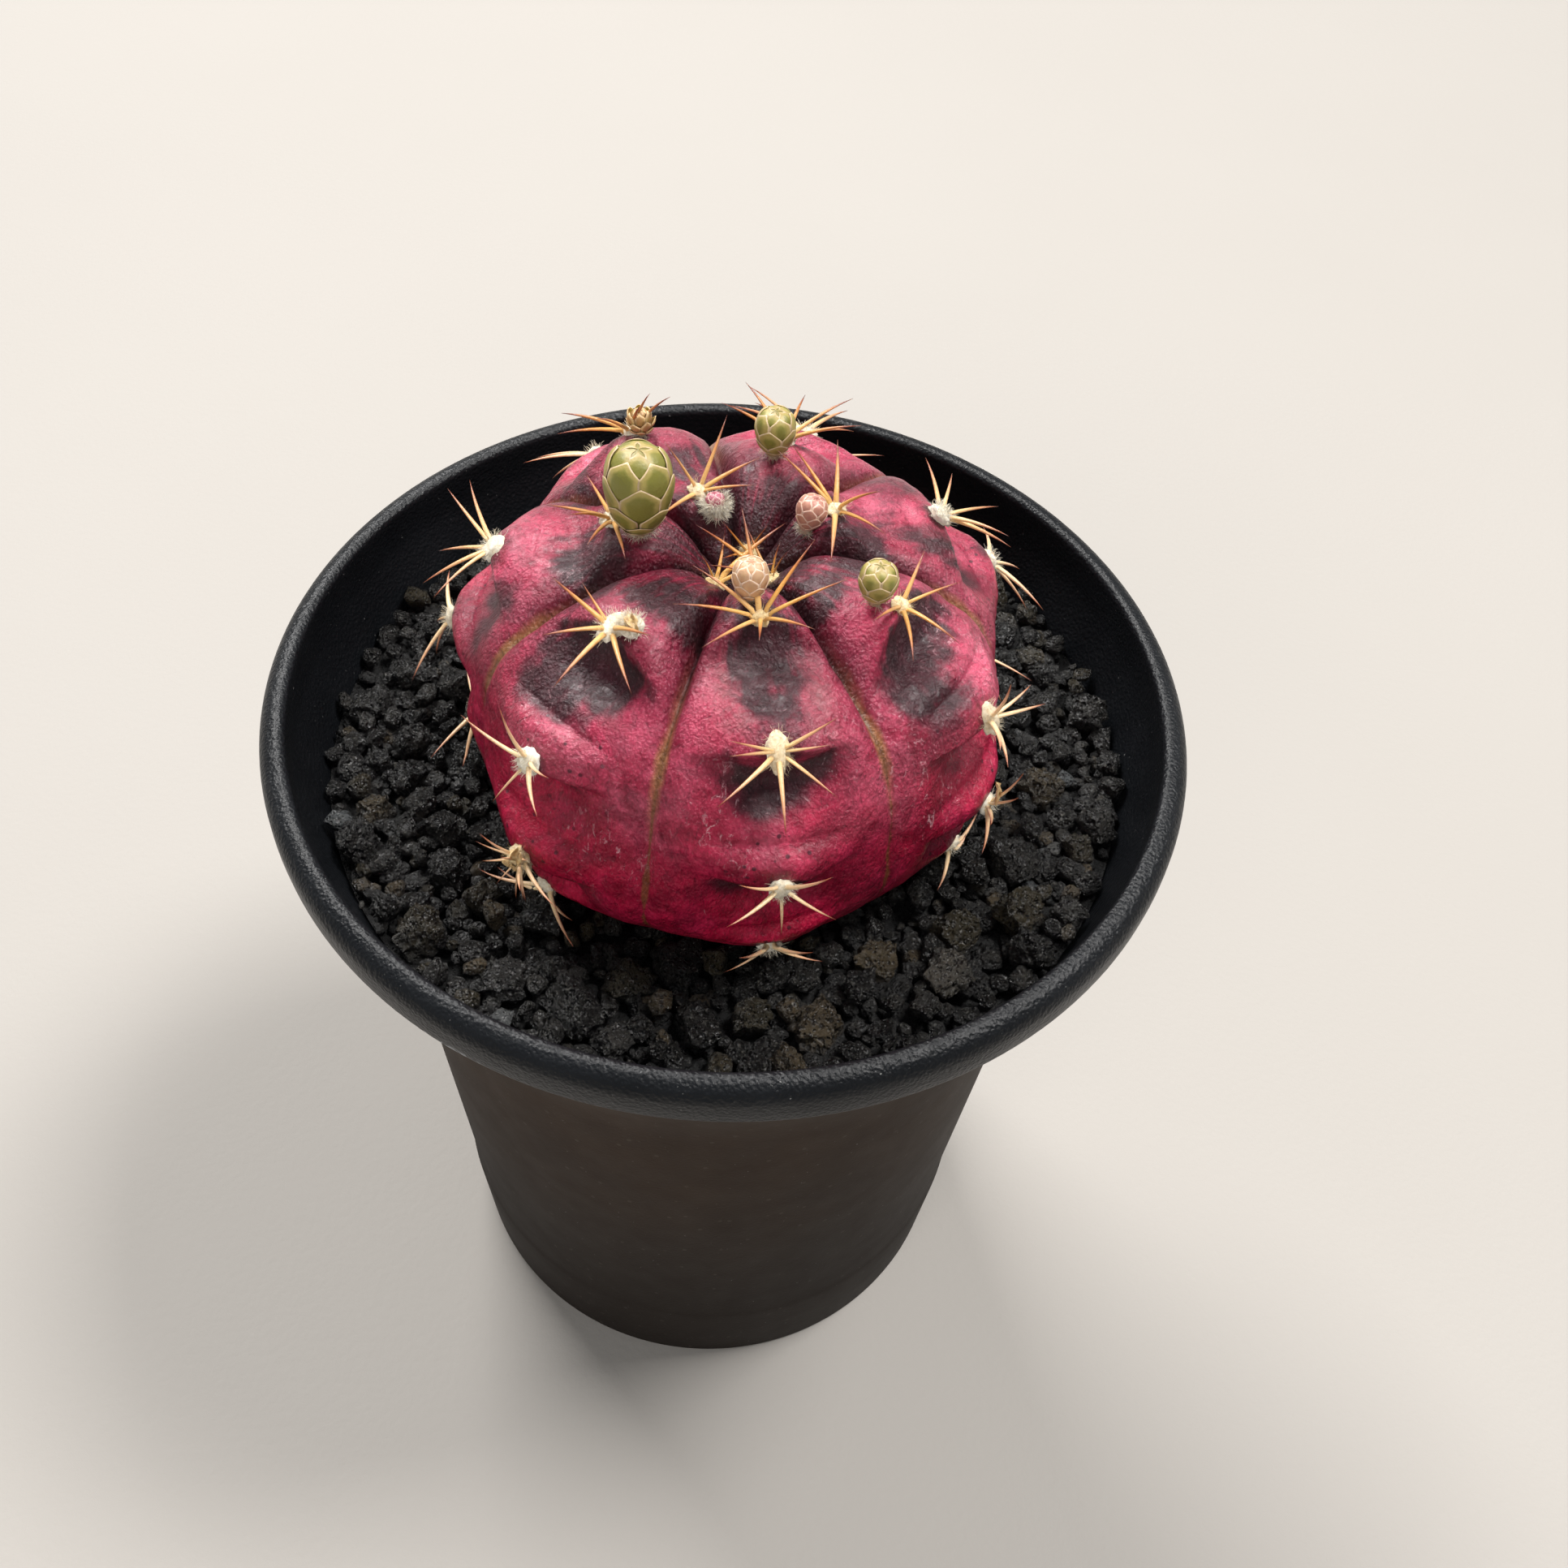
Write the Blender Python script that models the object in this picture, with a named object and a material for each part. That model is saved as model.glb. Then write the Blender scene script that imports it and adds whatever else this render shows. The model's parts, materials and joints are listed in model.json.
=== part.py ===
"""A ribbed globe cactus with flower buds, in a round flared pot topped with black lava grit.

Metres, +Z up, origin on the floor under the middle of the pot, front towards -Y.
"""

import math
import random

import bmesh
import bpy
from mathutils import Matrix, Vector
from mathutils.bvhtree import BVHTree
from mathutils.geometry import intersect_point_line

MM = 0.001
GAP = 0.3 * MM
TURN = math.tau

# Pot: a slim cone with a foot band, a flared collar and a rounded lip
POT_SEGMENTS = 48
POT_HEIGHT = 93.0 * MM
RIM_RADIUS = 45.0 * MM
LIP_HEIGHT = 5.2 * MM
LIP_INNER_RADIUS = 42.4 * MM
LIP_ROUND = 1.3 * MM
WALL = 1.1 * MM
FOOT_RADIUS = 30.9 * MM
FOOT_ROUND = 0.5 * MM
FOOT_RING_WIDTH = 2.2 * MM
BAND_HEIGHT = 13.0 * MM
BAND_STEP = 0.3 * MM
BAND_FADE = 1.6 * MM
COLLAR_START = 68.0 * MM
COLLAR_RADIUS = 35.5 * MM
COLLAR_TOP_RADIUS = 43.2 * MM
COLLAR_CURVE = 1.2
COLLAR_MIDDLE = 78.0 * MM
FLOOR_LIFT = 2.0 * MM
FLOOR_THICKNESS = 1.5 * MM
DRAIN_RADIUS = 3.0 * MM
DRAIN_CIRCLE = 18.0 * MM
DRAIN_COUNT = 6

# Grit: a bed that fills the pot, and coarse grains sunk into its top
GRIT_LEVEL = 83.8 * MM
GRIT_TOP = 86.9 * MM
BED_SIDE_GAP = 0.5 * MM
GRAIN_COUNT = 76
GRAIN_BAND = (19.8 * MM, 34.9 * MM)
GRAIN_SIZES = (3.2 * MM, 4.3 * MM)
PLANT_FOOTPRINT = 22.5 * MM
EDGE_GRAIN_COUNT = 34
EDGE_GRAIN_CIRCLE = 37.0 * MM
EDGE_GRAIN_SIZES = (2.0 * MM, 2.5 * MM)
GRAIN_ROUGHNESS = 0.16
GRAIN_LIFT = 0.2
GRAIN_SEED = 7

# Plant: a flattened globe of seven ribs around a sunken crown
RIB_COUNT = 7
RIB_PITCH = TURN / RIB_COUNT
FRONT_RIB = math.radians(280)
PLANT_AXIS = Vector((0.3 * MM, -2.7 * MM, 0.0))
BODY_RADIUS = 25.1 * MM
BODY_MIDDLE = 97.0 * MM
BODY_RISE = 18.6 * MM
BODY_DROP = 18.2 * MM
BODY_SQUARENESS = 0.774
CROWN_DIP = 4.6 * MM
CROWN_DIP_RADIUS = 5.2 * MM
BODY_STEPS_PER_RIB = 8
BODY_ROWS = 20
BURIED_ROWS = 3
BURIED_FROM = math.radians(126)
FURROW_SHARPNESS = 2.4
FURROW_TOP = 2.9 * MM
FURROW_SIDE = 1.5 * MM
FURROW_FADE = (math.radians(118), math.radians(132))
LEDGE_HEIGHT = 1.5 * MM
LEDGE_WIDTH = 4.2 * MM
LEDGE_ABOVE = 4.2 * MM
LEDGE_BELOW = 1.8 * MM
HOLLOW_DEPTH = 1.1 * MM
HOLLOW_WIDTH = 5.0 * MM
HOLLOW_DROP = 3.9 * MM
HOLLOW_LENGTH = 2.2 * MM
BODY_BOTTOM = BODY_MIDDLE - BODY_DROP
ROOT_BOTTOM = 68.0 * MM
ROOT_RADII = (2.4 * MM, 4.4 * MM)
ROOT_SINK = 3.0 * MM
ROOT_SEGMENTS = 12
CLEARANCE_TOP = 92.0 * MM
CLEARANCE_STEPS = 12

# Areoles: degrees from the crown at which each rib carries one, from the front rib round
STATIONS = (
    (19, 50, 85, 112),
    (31, 68, 92, 113),
    (15, 45, 74, 100),
    (25, 50, 78, 104),
    (11, 38, 69, 98),
    (20, 51, 80, 108),
    (31, 69, 94, 113),
)
YOUNG_STATIONS = {1: 4, 3: 3, 6: 4}
PAD_SIZE = Vector((1.05 * MM, 1.6 * MM, 0.75 * MM))
YOUNG_PAD_SCALE = 0.6
FULL_PAD_STATION = 50
LOW_STATION = 97

# Spines: clock angles are counted from the downward one, lifts from the skin
SPINE_RADIUS = 0.28 * MM
SPINE_MIDDLE_RADIUS = 0.22 * MM
SPINE_ROOT = 0.5 * MM
SPINE_BEND = math.radians(9)
SPINE_CLOCKS = (0, 52, -52, 97, -97)
LOW_SPINE_CLOCKS = (0, 57, -57)
YOUNG_SPINE_CLOCKS = (20, -150, 120)
SPINE_LENGTHS = {
    0: 7.6 * MM,
    20: 8.0 * MM,
    52: 8.0 * MM,
    57: 7.2 * MM,
    97: 7.0 * MM,
    120: 7.4 * MM,
    150: 7.6 * MM,
}
SPINE_LIFT = math.radians(24)
SIDE_SPINE_LIFT = math.radians(30)
YOUNG_SPINE_LIFT = math.radians(68)
LOW_SPINE_LIFT = math.radians(34)
SPINE_CLEARANCE = 0.7 * MM
SPINE_RISE = 0.9 * MM
SPINE_SIDE_RISE = 0.3
SPINE_SPLAY = 0.7

# Buds: where each stands (degrees round from the front rib and from the crown), its size,
# how far its axis turns from upright to the skin's outward side, and its scales round and up
BUDS = {
    "bud_large_green": {"at": (-95, 15), "width": 6.2, "height": 8.6, "lean": 0.1, "scales": (6, 4)},
    "bud_rear_green": {"at": (156, 19), "width": 3.9, "height": 4.5, "lean": 0.0, "scales": (5, 3)},
    "bud_right_green": {"at": (47, 26), "width": 3.5, "height": 3.8, "lean": 0.1, "scales": (5, 3)},
    "bud_front_tan": {"at": (-4, 14), "width": 3.2, "height": 4.0, "lean": 0.0, "scales": (5, 2)},
    "bud_pink": {"at": (98, 9), "width": 2.9, "height": 3.2, "lean": -0.6, "scales": (5, 2)},
    "bud_woolly": {"at": (200, 6.5), "width": 3.0, "height": 3.0, "lean": -0.6, "scales": (5, 2)},
    "bud_dried_rear": {"at": (-155, 34), "width": 2.1, "height": 2.6, "lean": 0.4, "scales": (5, 2)},
}
BUD_COLOURS = {
    "bud_large_green": (0.26, 0.30, 0.07, 1.0),
    "bud_rear_green": (0.25, 0.28, 0.09, 1.0),
    "bud_right_green": (0.22, 0.25, 0.10, 1.0),
    "bud_front_tan": (0.50, 0.30, 0.18, 1.0),
    "bud_pink": (0.42, 0.18, 0.16, 1.0),
    "bud_woolly": (0.62, 0.52, 0.42, 1.0),
    "bud_dried_rear": (0.28, 0.15, 0.06, 1.0),
}
BUD_FOOT = 0.28
BUD_GAP = 0.35 * MM
LIFT_TRIES = 12
LIFT_EXTRA = 0.02 * MM
SCALE_MARGIN = 0.055
SCALE_RISE = 0.05
BUD_CLEARANCE = 0.8 * MM


def clear_scene():
    for obj in list(bpy.data.objects):
        bpy.data.objects.remove(obj, do_unlink=True)


def make_material(name, colour, roughness, metallic=0.0):
    material = bpy.data.materials.new(name)
    material.use_nodes = True
    shader = material.node_tree.nodes["Principled BSDF"]
    shader.inputs["Base Color"].default_value = colour
    shader.inputs["Roughness"].default_value = roughness
    shader.inputs["Metallic"].default_value = metallic
    return material


def face_outwards(builder):
    """Points every face of a closed shape outwards."""
    bmesh.ops.recalc_face_normals(builder, faces=builder.faces)
    if builder.calc_volume(signed=True) < 0:
        bmesh.ops.reverse_faces(builder, faces=builder.faces)


def make_object(name, mesh_builder, collection=None):
    mesh = bpy.data.meshes.new(name)
    mesh_builder.to_mesh(mesh)
    mesh_builder.free()
    obj = bpy.data.objects.new(name, mesh)
    (collection or bpy.context.scene.collection).objects.link(obj)
    return obj


def finish_object(obj, material, crease_degrees=40):
    obj.data.materials.clear()
    obj.data.materials.append(material)
    obj.data.shade_smooth()
    obj.data.set_sharp_from_angle(angle=math.radians(crease_degrees))


def hide_as_cutter(obj):
    obj.hide_render = True
    obj.display_type = "WIRE"


def spin_profile(points, segments):
    """A solid turned about Z from (radius, height) points, closed on the axis where a radius is 0."""
    builder = bmesh.new()
    corners = [builder.verts.new((radius, 0.0, height)) for radius, height in points]
    edges = [builder.edges.new(pair) for pair in zip(corners, corners[1:])]
    if points[0][0] > 0.0:
        edges.append(builder.edges.new((corners[-1], corners[0])))
    bmesh.ops.spin(
        builder,
        geom=corners + edges,
        axis=(0, 0, 1),
        cent=(0, 0, 0),
        angle=TURN,
        steps=segments,
        use_merge=True,
    )
    bmesh.ops.remove_doubles(builder, verts=builder.verts, dist=1e-7)
    face_outwards(builder)
    return builder


def join_collection(obj, collection, operation="UNION"):
    """One applied Boolean of obj with everything in the collection, whose objects are then removed."""
    modifier = obj.modifiers.new("join", "BOOLEAN")
    modifier.operation = operation
    modifier.operand_type = "COLLECTION"
    modifier.collection = collection
    graph = bpy.context.evaluated_depsgraph_get()
    joined = bpy.data.meshes.new_from_object(obj.evaluated_get(graph))
    obj.modifiers.clear()
    obj.data = joined
    for part in list(collection.objects):
        bpy.data.objects.remove(part, do_unlink=True)
    bpy.data.collections.remove(collection)
    keep_main_body(obj)


def keep_main_body(obj):
    """Drops any loose scrap and any sealed hollow that fusing left, so that one outer skin stays."""
    builder = bmesh.new()
    builder.from_mesh(obj.data)
    bmesh.ops.remove_doubles(builder, verts=builder.verts, dist=2e-7)
    unseen = set(builder.verts)
    islands = []
    while unseen:
        island = set()
        front = [unseen.pop()]
        while front:
            vertex = front.pop()
            island.add(vertex)
            for edge in vertex.link_edges:
                neighbour = edge.other_vert(vertex)
                if neighbour in unseen:
                    unseen.discard(neighbour)
                    front.append(neighbour)
        islands.append(island)
    islands.sort(key=len)
    loose = [vertex for island in islands[:-1] for vertex in island]
    bmesh.ops.delete(builder, geom=loose, context="VERTS")
    bmesh.ops.triangulate(builder, faces=builder.faces)
    builder.to_mesh(obj.data)
    builder.free()


def new_collection(name):
    collection = bpy.data.collections.new(name)
    bpy.context.scene.collection.children.link(collection)
    return collection


# Pot


def pot_radius(height):
    """The outer wall's radius below the lip."""
    if height <= COLLAR_START:
        return FOOT_RADIUS + (COLLAR_RADIUS - FOOT_RADIUS) * height / COLLAR_START
    share = (height - COLLAR_START) / (POT_HEIGHT - LIP_HEIGHT - COLLAR_START)
    return COLLAR_RADIUS + (COLLAR_TOP_RADIUS - COLLAR_RADIUS) * share**COLLAR_CURVE


def lip_profile():
    """From under the lip, out, over its rounded top and down inside."""
    under = POT_HEIGHT - LIP_HEIGHT
    middle = (RIM_RADIUS + LIP_INNER_RADIUS) / 2
    return [
        (COLLAR_TOP_RADIUS, under),
        (RIM_RADIUS - 0.4 * LIP_ROUND, under + 0.1 * LIP_ROUND),
        (RIM_RADIUS, under + 0.8 * LIP_ROUND),
        (RIM_RADIUS, POT_HEIGHT - LIP_ROUND),
        (RIM_RADIUS - 0.4 * LIP_ROUND, POT_HEIGHT - 0.3 * LIP_ROUND),
        (middle, POT_HEIGHT),
        (LIP_INNER_RADIUS + 0.3 * LIP_ROUND, POT_HEIGHT - 0.3 * LIP_ROUND),
        (LIP_INNER_RADIUS, POT_HEIGHT - LIP_ROUND),
    ]


def pot_profile():
    floor_top = FLOOR_LIFT + FLOOR_THICKNESS
    foot_outer = FOOT_RADIUS + BAND_STEP
    foot_inner = foot_outer - FOOT_RING_WIDTH
    outside = [
        (0.0, FLOOR_LIFT),
        (foot_inner - FOOT_ROUND, FLOOR_LIFT),
        (foot_inner, 0.0),
        (foot_outer - FOOT_ROUND, 0.0),
        (foot_outer, FOOT_ROUND),
        (pot_radius(BAND_HEIGHT) + BAND_STEP, BAND_HEIGHT),
        (pot_radius(BAND_HEIGHT + BAND_FADE), BAND_HEIGHT + BAND_FADE),
        (COLLAR_RADIUS, COLLAR_START),
    ]
    flare = [(pot_radius(COLLAR_MIDDLE), COLLAR_MIDDLE)]
    inside = [
        (COLLAR_TOP_RADIUS - WALL, POT_HEIGHT - LIP_HEIGHT),
        (pot_radius(COLLAR_MIDDLE) - WALL, COLLAR_MIDDLE),
        (COLLAR_RADIUS - WALL, COLLAR_START),
        (pot_radius(floor_top) - WALL, floor_top),
        (0.0, floor_top),
    ]
    return outside + flare + lip_profile() + inside


def make_pot():
    pot = make_object("pot", spin_profile(pot_profile(), POT_SEGMENTS))
    drains = new_collection("drain_holes")
    places = [Vector((0, 0, 0))]
    for index in range(DRAIN_COUNT):
        angle = TURN * index / DRAIN_COUNT
        places.append(Vector((math.cos(angle), math.sin(angle), 0)) * DRAIN_CIRCLE)
    for place in places:
        builder = bmesh.new()
        bmesh.ops.create_cone(
            builder,
            cap_ends=True,
            segments=12,
            radius1=DRAIN_RADIUS,
            radius2=DRAIN_RADIUS,
            depth=4 * FLOOR_THICKNESS,
        )
        hole = make_object("drain_hole", builder, drains)
        hole.location = place + Vector((0, 0, FLOOR_LIFT + FLOOR_THICKNESS / 2))
        hide_as_cutter(hole)
    bpy.context.view_layer.update()
    join_collection(pot, drains, "DIFFERENCE")
    finish_object(pot, make_material("pot_plastic", (0.012, 0.012, 0.013, 1.0), 0.45))


# Plant body


def envelope(polar):
    """The crest line's radius and height at an angle from the crown."""
    rise = BODY_RISE if polar < math.pi / 2 else BODY_DROP
    sine = max(math.sin(polar), 0.0)
    cosine = math.cos(polar)
    radius = BODY_RADIUS * sine**BODY_SQUARENESS
    height = BODY_MIDDLE + math.copysign(rise * abs(cosine) ** BODY_SQUARENESS, cosine)
    height -= CROWN_DIP * math.exp(-((radius / CROWN_DIP_RADIUS) ** 2)) * (polar < math.pi / 2)
    return radius, height


def envelope_frame(turn, polar):
    """Point, outward normal, down-the-rib direction and sideways direction on the crest line's surface."""
    step = 0.01
    before = envelope(max(polar - step, 0.0))
    after = envelope(min(polar + step, math.pi))
    slope = Vector((after[0] - before[0], after[1] - before[1])).normalized()
    angle = FRONT_RIB + turn
    outward = Vector((math.cos(angle), math.sin(angle), 0))
    sideways = Vector((-math.sin(angle), math.cos(angle), 0))
    radius, height = envelope(polar)
    point = PLANT_AXIS + outward * radius + Vector((0, 0, height))
    down = outward * slope.x + Vector((0, 0, slope.y))
    normal = outward * -slope.y + Vector((0, 0, slope.x))
    return point, normal, down, sideways


def areole_places():
    """Every full-grown areole as (rib, degrees from the crown)."""
    return [(rib, station) for rib, stations in enumerate(STATIONS) for station in stations]


AREOLE_FRAMES = [
    (*envelope_frame(rib * RIB_PITCH, math.radians(station)), station) for rib, station in areole_places()
]


def furrow_depth(polar):
    """Deep folds round the crown, shallower down the side, gone where the body sits in the grit."""
    top_share = 1 - min(polar / math.radians(70), 1.0)
    depth = FURROW_SIDE + (FURROW_TOP - FURROW_SIDE) * top_share**0.5
    start, end = FURROW_FADE
    fade = 1 - min(max((polar - start) / (end - start), 0.0), 1.0)
    at_crown = min(polar / math.radians(8), 1.0)
    return depth * fade * at_crown


def tubercle_height(point):
    """The ledge that carries each areole and the hollow under it."""
    height = 0.0
    for centre, _, down, sideways, station in AREOLE_FRAMES:
        offset = point - centre
        along = offset.dot(down)
        across = offset.dot(sideways)
        if abs(along) > 12 * MM or offset.length > 15 * MM:
            continue
        strength = min(station / 30, 1.0) * (0.6 if station > LOW_STATION else 1.0)
        reach = LEDGE_ABOVE if along < 0 else LEDGE_BELOW
        ledge = math.exp(-((along / reach) ** 2) - (across / LEDGE_WIDTH) ** 2)
        hollow = math.exp(-(((along - HOLLOW_DROP) / HOLLOW_LENGTH) ** 2) - (across / HOLLOW_WIDTH) ** 2)
        height += strength * (LEDGE_HEIGHT * ledge - HOLLOW_DEPTH * hollow)
    return height


def skin_point(turn, polar):
    """A point of the ribbed skin, with the outward normal of the crest line's surface there."""
    share = abs((turn / RIB_PITCH + 0.5) % 1.0 - 0.5) * 2
    point, normal, _, _ = envelope_frame(turn, polar)
    height = -furrow_depth(polar) * share**FURROW_SHARPNESS
    if math.radians(5) < polar < FURROW_FADE[0]:
        height += tubercle_height(point)
    return point + normal * height, normal


def row_polar(row):
    """The angle from the crown of a row of the mesh: rows are closer above the grit than below it."""
    open_rows = BODY_ROWS - BURIED_ROWS
    if row <= open_rows:
        return BURIED_FROM * row / open_rows
    return BURIED_FROM + (math.pi - BURIED_FROM) * (row - open_rows) / BURIED_ROWS


def make_body_mesh():
    builder = bmesh.new()
    bmesh.ops.create_uvsphere(
        builder,
        u_segments=RIB_COUNT * BODY_STEPS_PER_RIB,
        v_segments=BODY_ROWS,
        radius=1.0,
    )
    for vertex in builder.verts:
        direction = vertex.co.normalized()
        row = math.acos(max(-1.0, min(1.0, direction.z))) / math.pi * BODY_ROWS
        turn = math.atan2(direction.y, direction.x)
        vertex.co = skin_point(turn, row_polar(row))[0]
    face_outwards(builder)
    return builder


def rib_frame(rib, station):
    """Matrix whose origin is on the skin, X to the left seen from outside, Y down the rib and Z outwards."""
    turn = rib * RIB_PITCH
    polar = math.radians(station)
    point = skin_point(turn, polar)[0]
    _, normal, down, sideways = envelope_frame(turn, polar)
    matrix = Matrix((-sideways, down, normal)).transposed().to_4x4()
    matrix.translation = point
    return matrix


def add_pad(frame, size, collection):
    """The tuft of wool that a group of spines stands in."""
    builder = bmesh.new()
    bmesh.ops.create_icosphere(builder, subdivisions=1, radius=1.0)
    bmesh.ops.transform(builder, matrix=frame @ Matrix.Diagonal((*size, 1.0)), verts=builder.verts)
    face_outwards(builder)
    make_object("pad", builder, collection)


def bud_clearances():
    """The room that each bud needs: both ends of a line along its axis, and the distance to keep from it."""
    rooms = []
    for settings in BUDS.values():
        frame = bud_frame(settings)
        half = settings["width"] * MM / 2
        low = frame @ Vector((0, 0, half))
        high = frame @ Vector((0, 0, settings["height"] * MM - half))
        rooms.append((low, high, half + BUD_CLEARANCE))
    return rooms


def clear_of_neighbours(point, rooms, rise):
    """Bends a spine's point off the grit and out of the buds."""
    lowest = GRIT_TOP + SPINE_CLEARANCE + rise
    if point.z < lowest:
        outward = point - PLANT_AXIS
        outward.z = 0
        point = point + outward.normalized() * (lowest - point.z) * SPINE_SPLAY
        point.z = lowest
    for low, high, room in rooms:
        nearest, share = intersect_point_line(point, low, high)
        if share < 0:
            nearest = low
        elif share > 1:
            nearest = high
        offset = point - nearest
        if offset.length < room:
            point = nearest + offset.normalized() * room
    return point


def add_spine(frame, clock, lift, length, rooms, collection):
    """A three-sided needle from the wool outwards, bent a little back towards the skin."""
    angle = math.radians(clock)
    heading = Vector((-math.sin(angle), math.cos(angle), 0))
    points = [frame @ Vector((0, 0, -SPINE_ROOT))]
    for share in (0.5, 1.0):
        rise = lift - SPINE_BEND * share
        reach = heading * math.cos(rise) + Vector((0, 0, math.sin(rise)))
        above_grit = SPINE_RISE * (share + SPINE_SIDE_RISE * math.sin(angle))
        points.append(clear_of_neighbours(frame @ (reach * length * share), rooms, above_grit))
    turned = (points[2] - points[0]).to_track_quat("Z", "Y").to_matrix()
    builder = bmesh.new()
    bmesh.ops.create_cone(builder, cap_ends=True, segments=3, radius1=1.0, radius2=1.0, depth=1.0)
    caps = [face for face in builder.faces if len(face.verts) == 3]
    root, middle = sorted(caps, key=lambda cap: cap.calc_center_median().z)
    rings = ((root.verts[:], points[0], SPINE_RADIUS), (middle.verts[:], points[1], SPINE_MIDDLE_RADIUS))
    tip = bmesh.ops.extrude_discrete_faces(builder, faces=[middle])["faces"][0]
    bmesh.ops.pointmerge(builder, verts=tip.verts[:], merge_co=points[2])
    for corners, point, radius in rings:
        for vertex in corners:
            flat = Vector((vertex.co.x, vertex.co.y, 0)).normalized()
            vertex.co = point + turned @ (flat * radius)
    face_outwards(builder)
    make_object("spine", builder, collection)


def add_areole(rib, station, rooms, collection, young=False):
    frame = rib_frame(rib, station)
    grown = min(station / FULL_PAD_STATION, 1.0)
    add_pad(frame, PAD_SIZE * (YOUNG_PAD_SCALE + (1 - YOUNG_PAD_SCALE) * grown), collection)
    clocks = SPINE_CLOCKS
    if young:
        clocks = YOUNG_SPINE_CLOCKS
    elif station > LOW_STATION:
        clocks = LOW_SPINE_CLOCKS
    for clock in clocks:
        lift = SPINE_LIFT if clock == 0 else SIDE_SPINE_LIFT
        if young:
            lift = YOUNG_SPINE_LIFT
        elif station > LOW_STATION:
            lift = LOW_SPINE_LIFT
        add_spine(frame, clock, lift, SPINE_LENGTHS[abs(clock)], rooms, collection)


def root_profile(extra=0.0):
    """The short root neck's (radius, height) points up to the body, lowest first, grown by an allowance."""
    low, high = ROOT_RADII
    bottom = ROOT_BOTTOM - extra
    return [(0.0, bottom), (low + extra, bottom), (high + extra, BODY_BOTTOM - extra)]


def make_cactus():
    cactus = make_object("cactus_body", make_body_mesh())
    growths = new_collection("growths")
    sunk = BODY_BOTTOM + ROOT_SINK
    neck_profile = root_profile() + [(ROOT_RADII[1], sunk), (0.0, sunk)]
    root = make_object("root_neck", spin_profile(neck_profile, ROOT_SEGMENTS), growths)
    root.location = PLANT_AXIS
    rooms = bud_clearances()
    for rib, station in areole_places():
        add_areole(rib, station, rooms, growths)
    for rib, station in YOUNG_STATIONS.items():
        add_areole(rib, station, rooms, growths, young=True)
    bpy.context.view_layer.update()
    join_collection(cactus, growths)
    finish_object(cactus, make_material("cactus_skin", (0.30, 0.02, 0.07, 1.0), 0.45))
    return cactus


# Grit


def clearance_profile():
    """The hole for the plant: its root neck and underside as a plain turned shape, grown by the gap."""
    points = root_profile(GAP)
    for index in range(CLEARANCE_STEPS + 1):
        polar = math.pi * (1 - index / CLEARANCE_STEPS / 2)
        radius, height = envelope(polar)
        if radius <= points[-1][0]:
            continue
        points.append((radius + GAP, height - GAP * math.sin(polar - math.pi / 2)))
    points = [point for point in points if point[1] < CLEARANCE_TOP]
    points.append((points[-1][0], CLEARANCE_TOP))
    points.append((0.0, CLEARANCE_TOP))
    return points


def add_grain(place, size, draw, collection):
    builder = bmesh.new()
    bmesh.ops.create_icosphere(builder, subdivisions=1, radius=1.0)
    for vertex in builder.verts:
        vertex.co *= 1 + draw.uniform(-GRAIN_ROUGHNESS, GRAIN_ROUGHNESS)
    turned = Matrix.Rotation(draw.uniform(0, TURN), 4, "Z") @ Matrix.Rotation(draw.uniform(0, TURN), 4, "X")
    squash = Matrix.Diagonal((size, size * draw.uniform(0.8, 1.0), size * 0.8, 1.0))
    bmesh.ops.transform(builder, matrix=squash @ turned, verts=builder.verts)
    highest = max(vertex.co.z for vertex in builder.verts)
    level = min(GRIT_LEVEL + GRAIN_LIFT * size, GRIT_TOP - highest)
    bmesh.ops.translate(builder, vec=place + Vector((0, 0, level)), verts=builder.verts)
    face_outwards(builder)
    make_object("grain", builder, collection)


def make_grit():
    floor_top = FLOOR_LIFT + FLOOR_THICKNESS + GAP
    heights = [floor_top, COLLAR_START, COLLAR_MIDDLE, GRIT_LEVEL]
    side = [(pot_radius(height) - WALL - BED_SIDE_GAP, height) for height in heights]
    profile = [(0.0, floor_top)] + side + [(0.0, GRIT_LEVEL)]
    grit = make_object("lava_grit", spin_profile(profile, POT_SEGMENTS))
    draw = random.Random(GRAIN_SEED)
    grains = new_collection("grains")
    inner, outer = GRAIN_BAND
    golden = math.pi * (3 - math.sqrt(5))
    for index in range(GRAIN_COUNT):
        share = (index + 0.5) / GRAIN_COUNT
        radius = math.sqrt(inner**2 + (outer**2 - inner**2) * share)
        angle = index * golden + draw.uniform(-0.03, 0.03)
        size = draw.uniform(*GRAIN_SIZES)
        place = Vector((radius * math.cos(angle), radius * math.sin(angle), 0))
        if (place - PLANT_AXIS).length > PLANT_FOOTPRINT:
            add_grain(place, size, draw, grains)
    for index in range(EDGE_GRAIN_COUNT):
        angle = TURN * (index + draw.uniform(-0.2, 0.2)) / EDGE_GRAIN_COUNT
        size = draw.uniform(*EDGE_GRAIN_SIZES)
        place = Vector((math.cos(angle), math.sin(angle), 0)) * EDGE_GRAIN_CIRCLE
        add_grain(place, size, draw, grains)
    bpy.context.view_layer.update()
    join_collection(grit, grains)
    hole = new_collection("plant_hole")
    cutter = make_object("plant_hole", spin_profile(clearance_profile(), POT_SEGMENTS), hole)
    cutter.location = PLANT_AXIS
    hide_as_cutter(cutter)
    bpy.context.view_layer.update()
    join_collection(grit, hole, "DIFFERENCE")
    finish_object(grit, make_material("black_lava", (0.02, 0.019, 0.018, 1.0), 0.8))


# Buds


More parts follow.
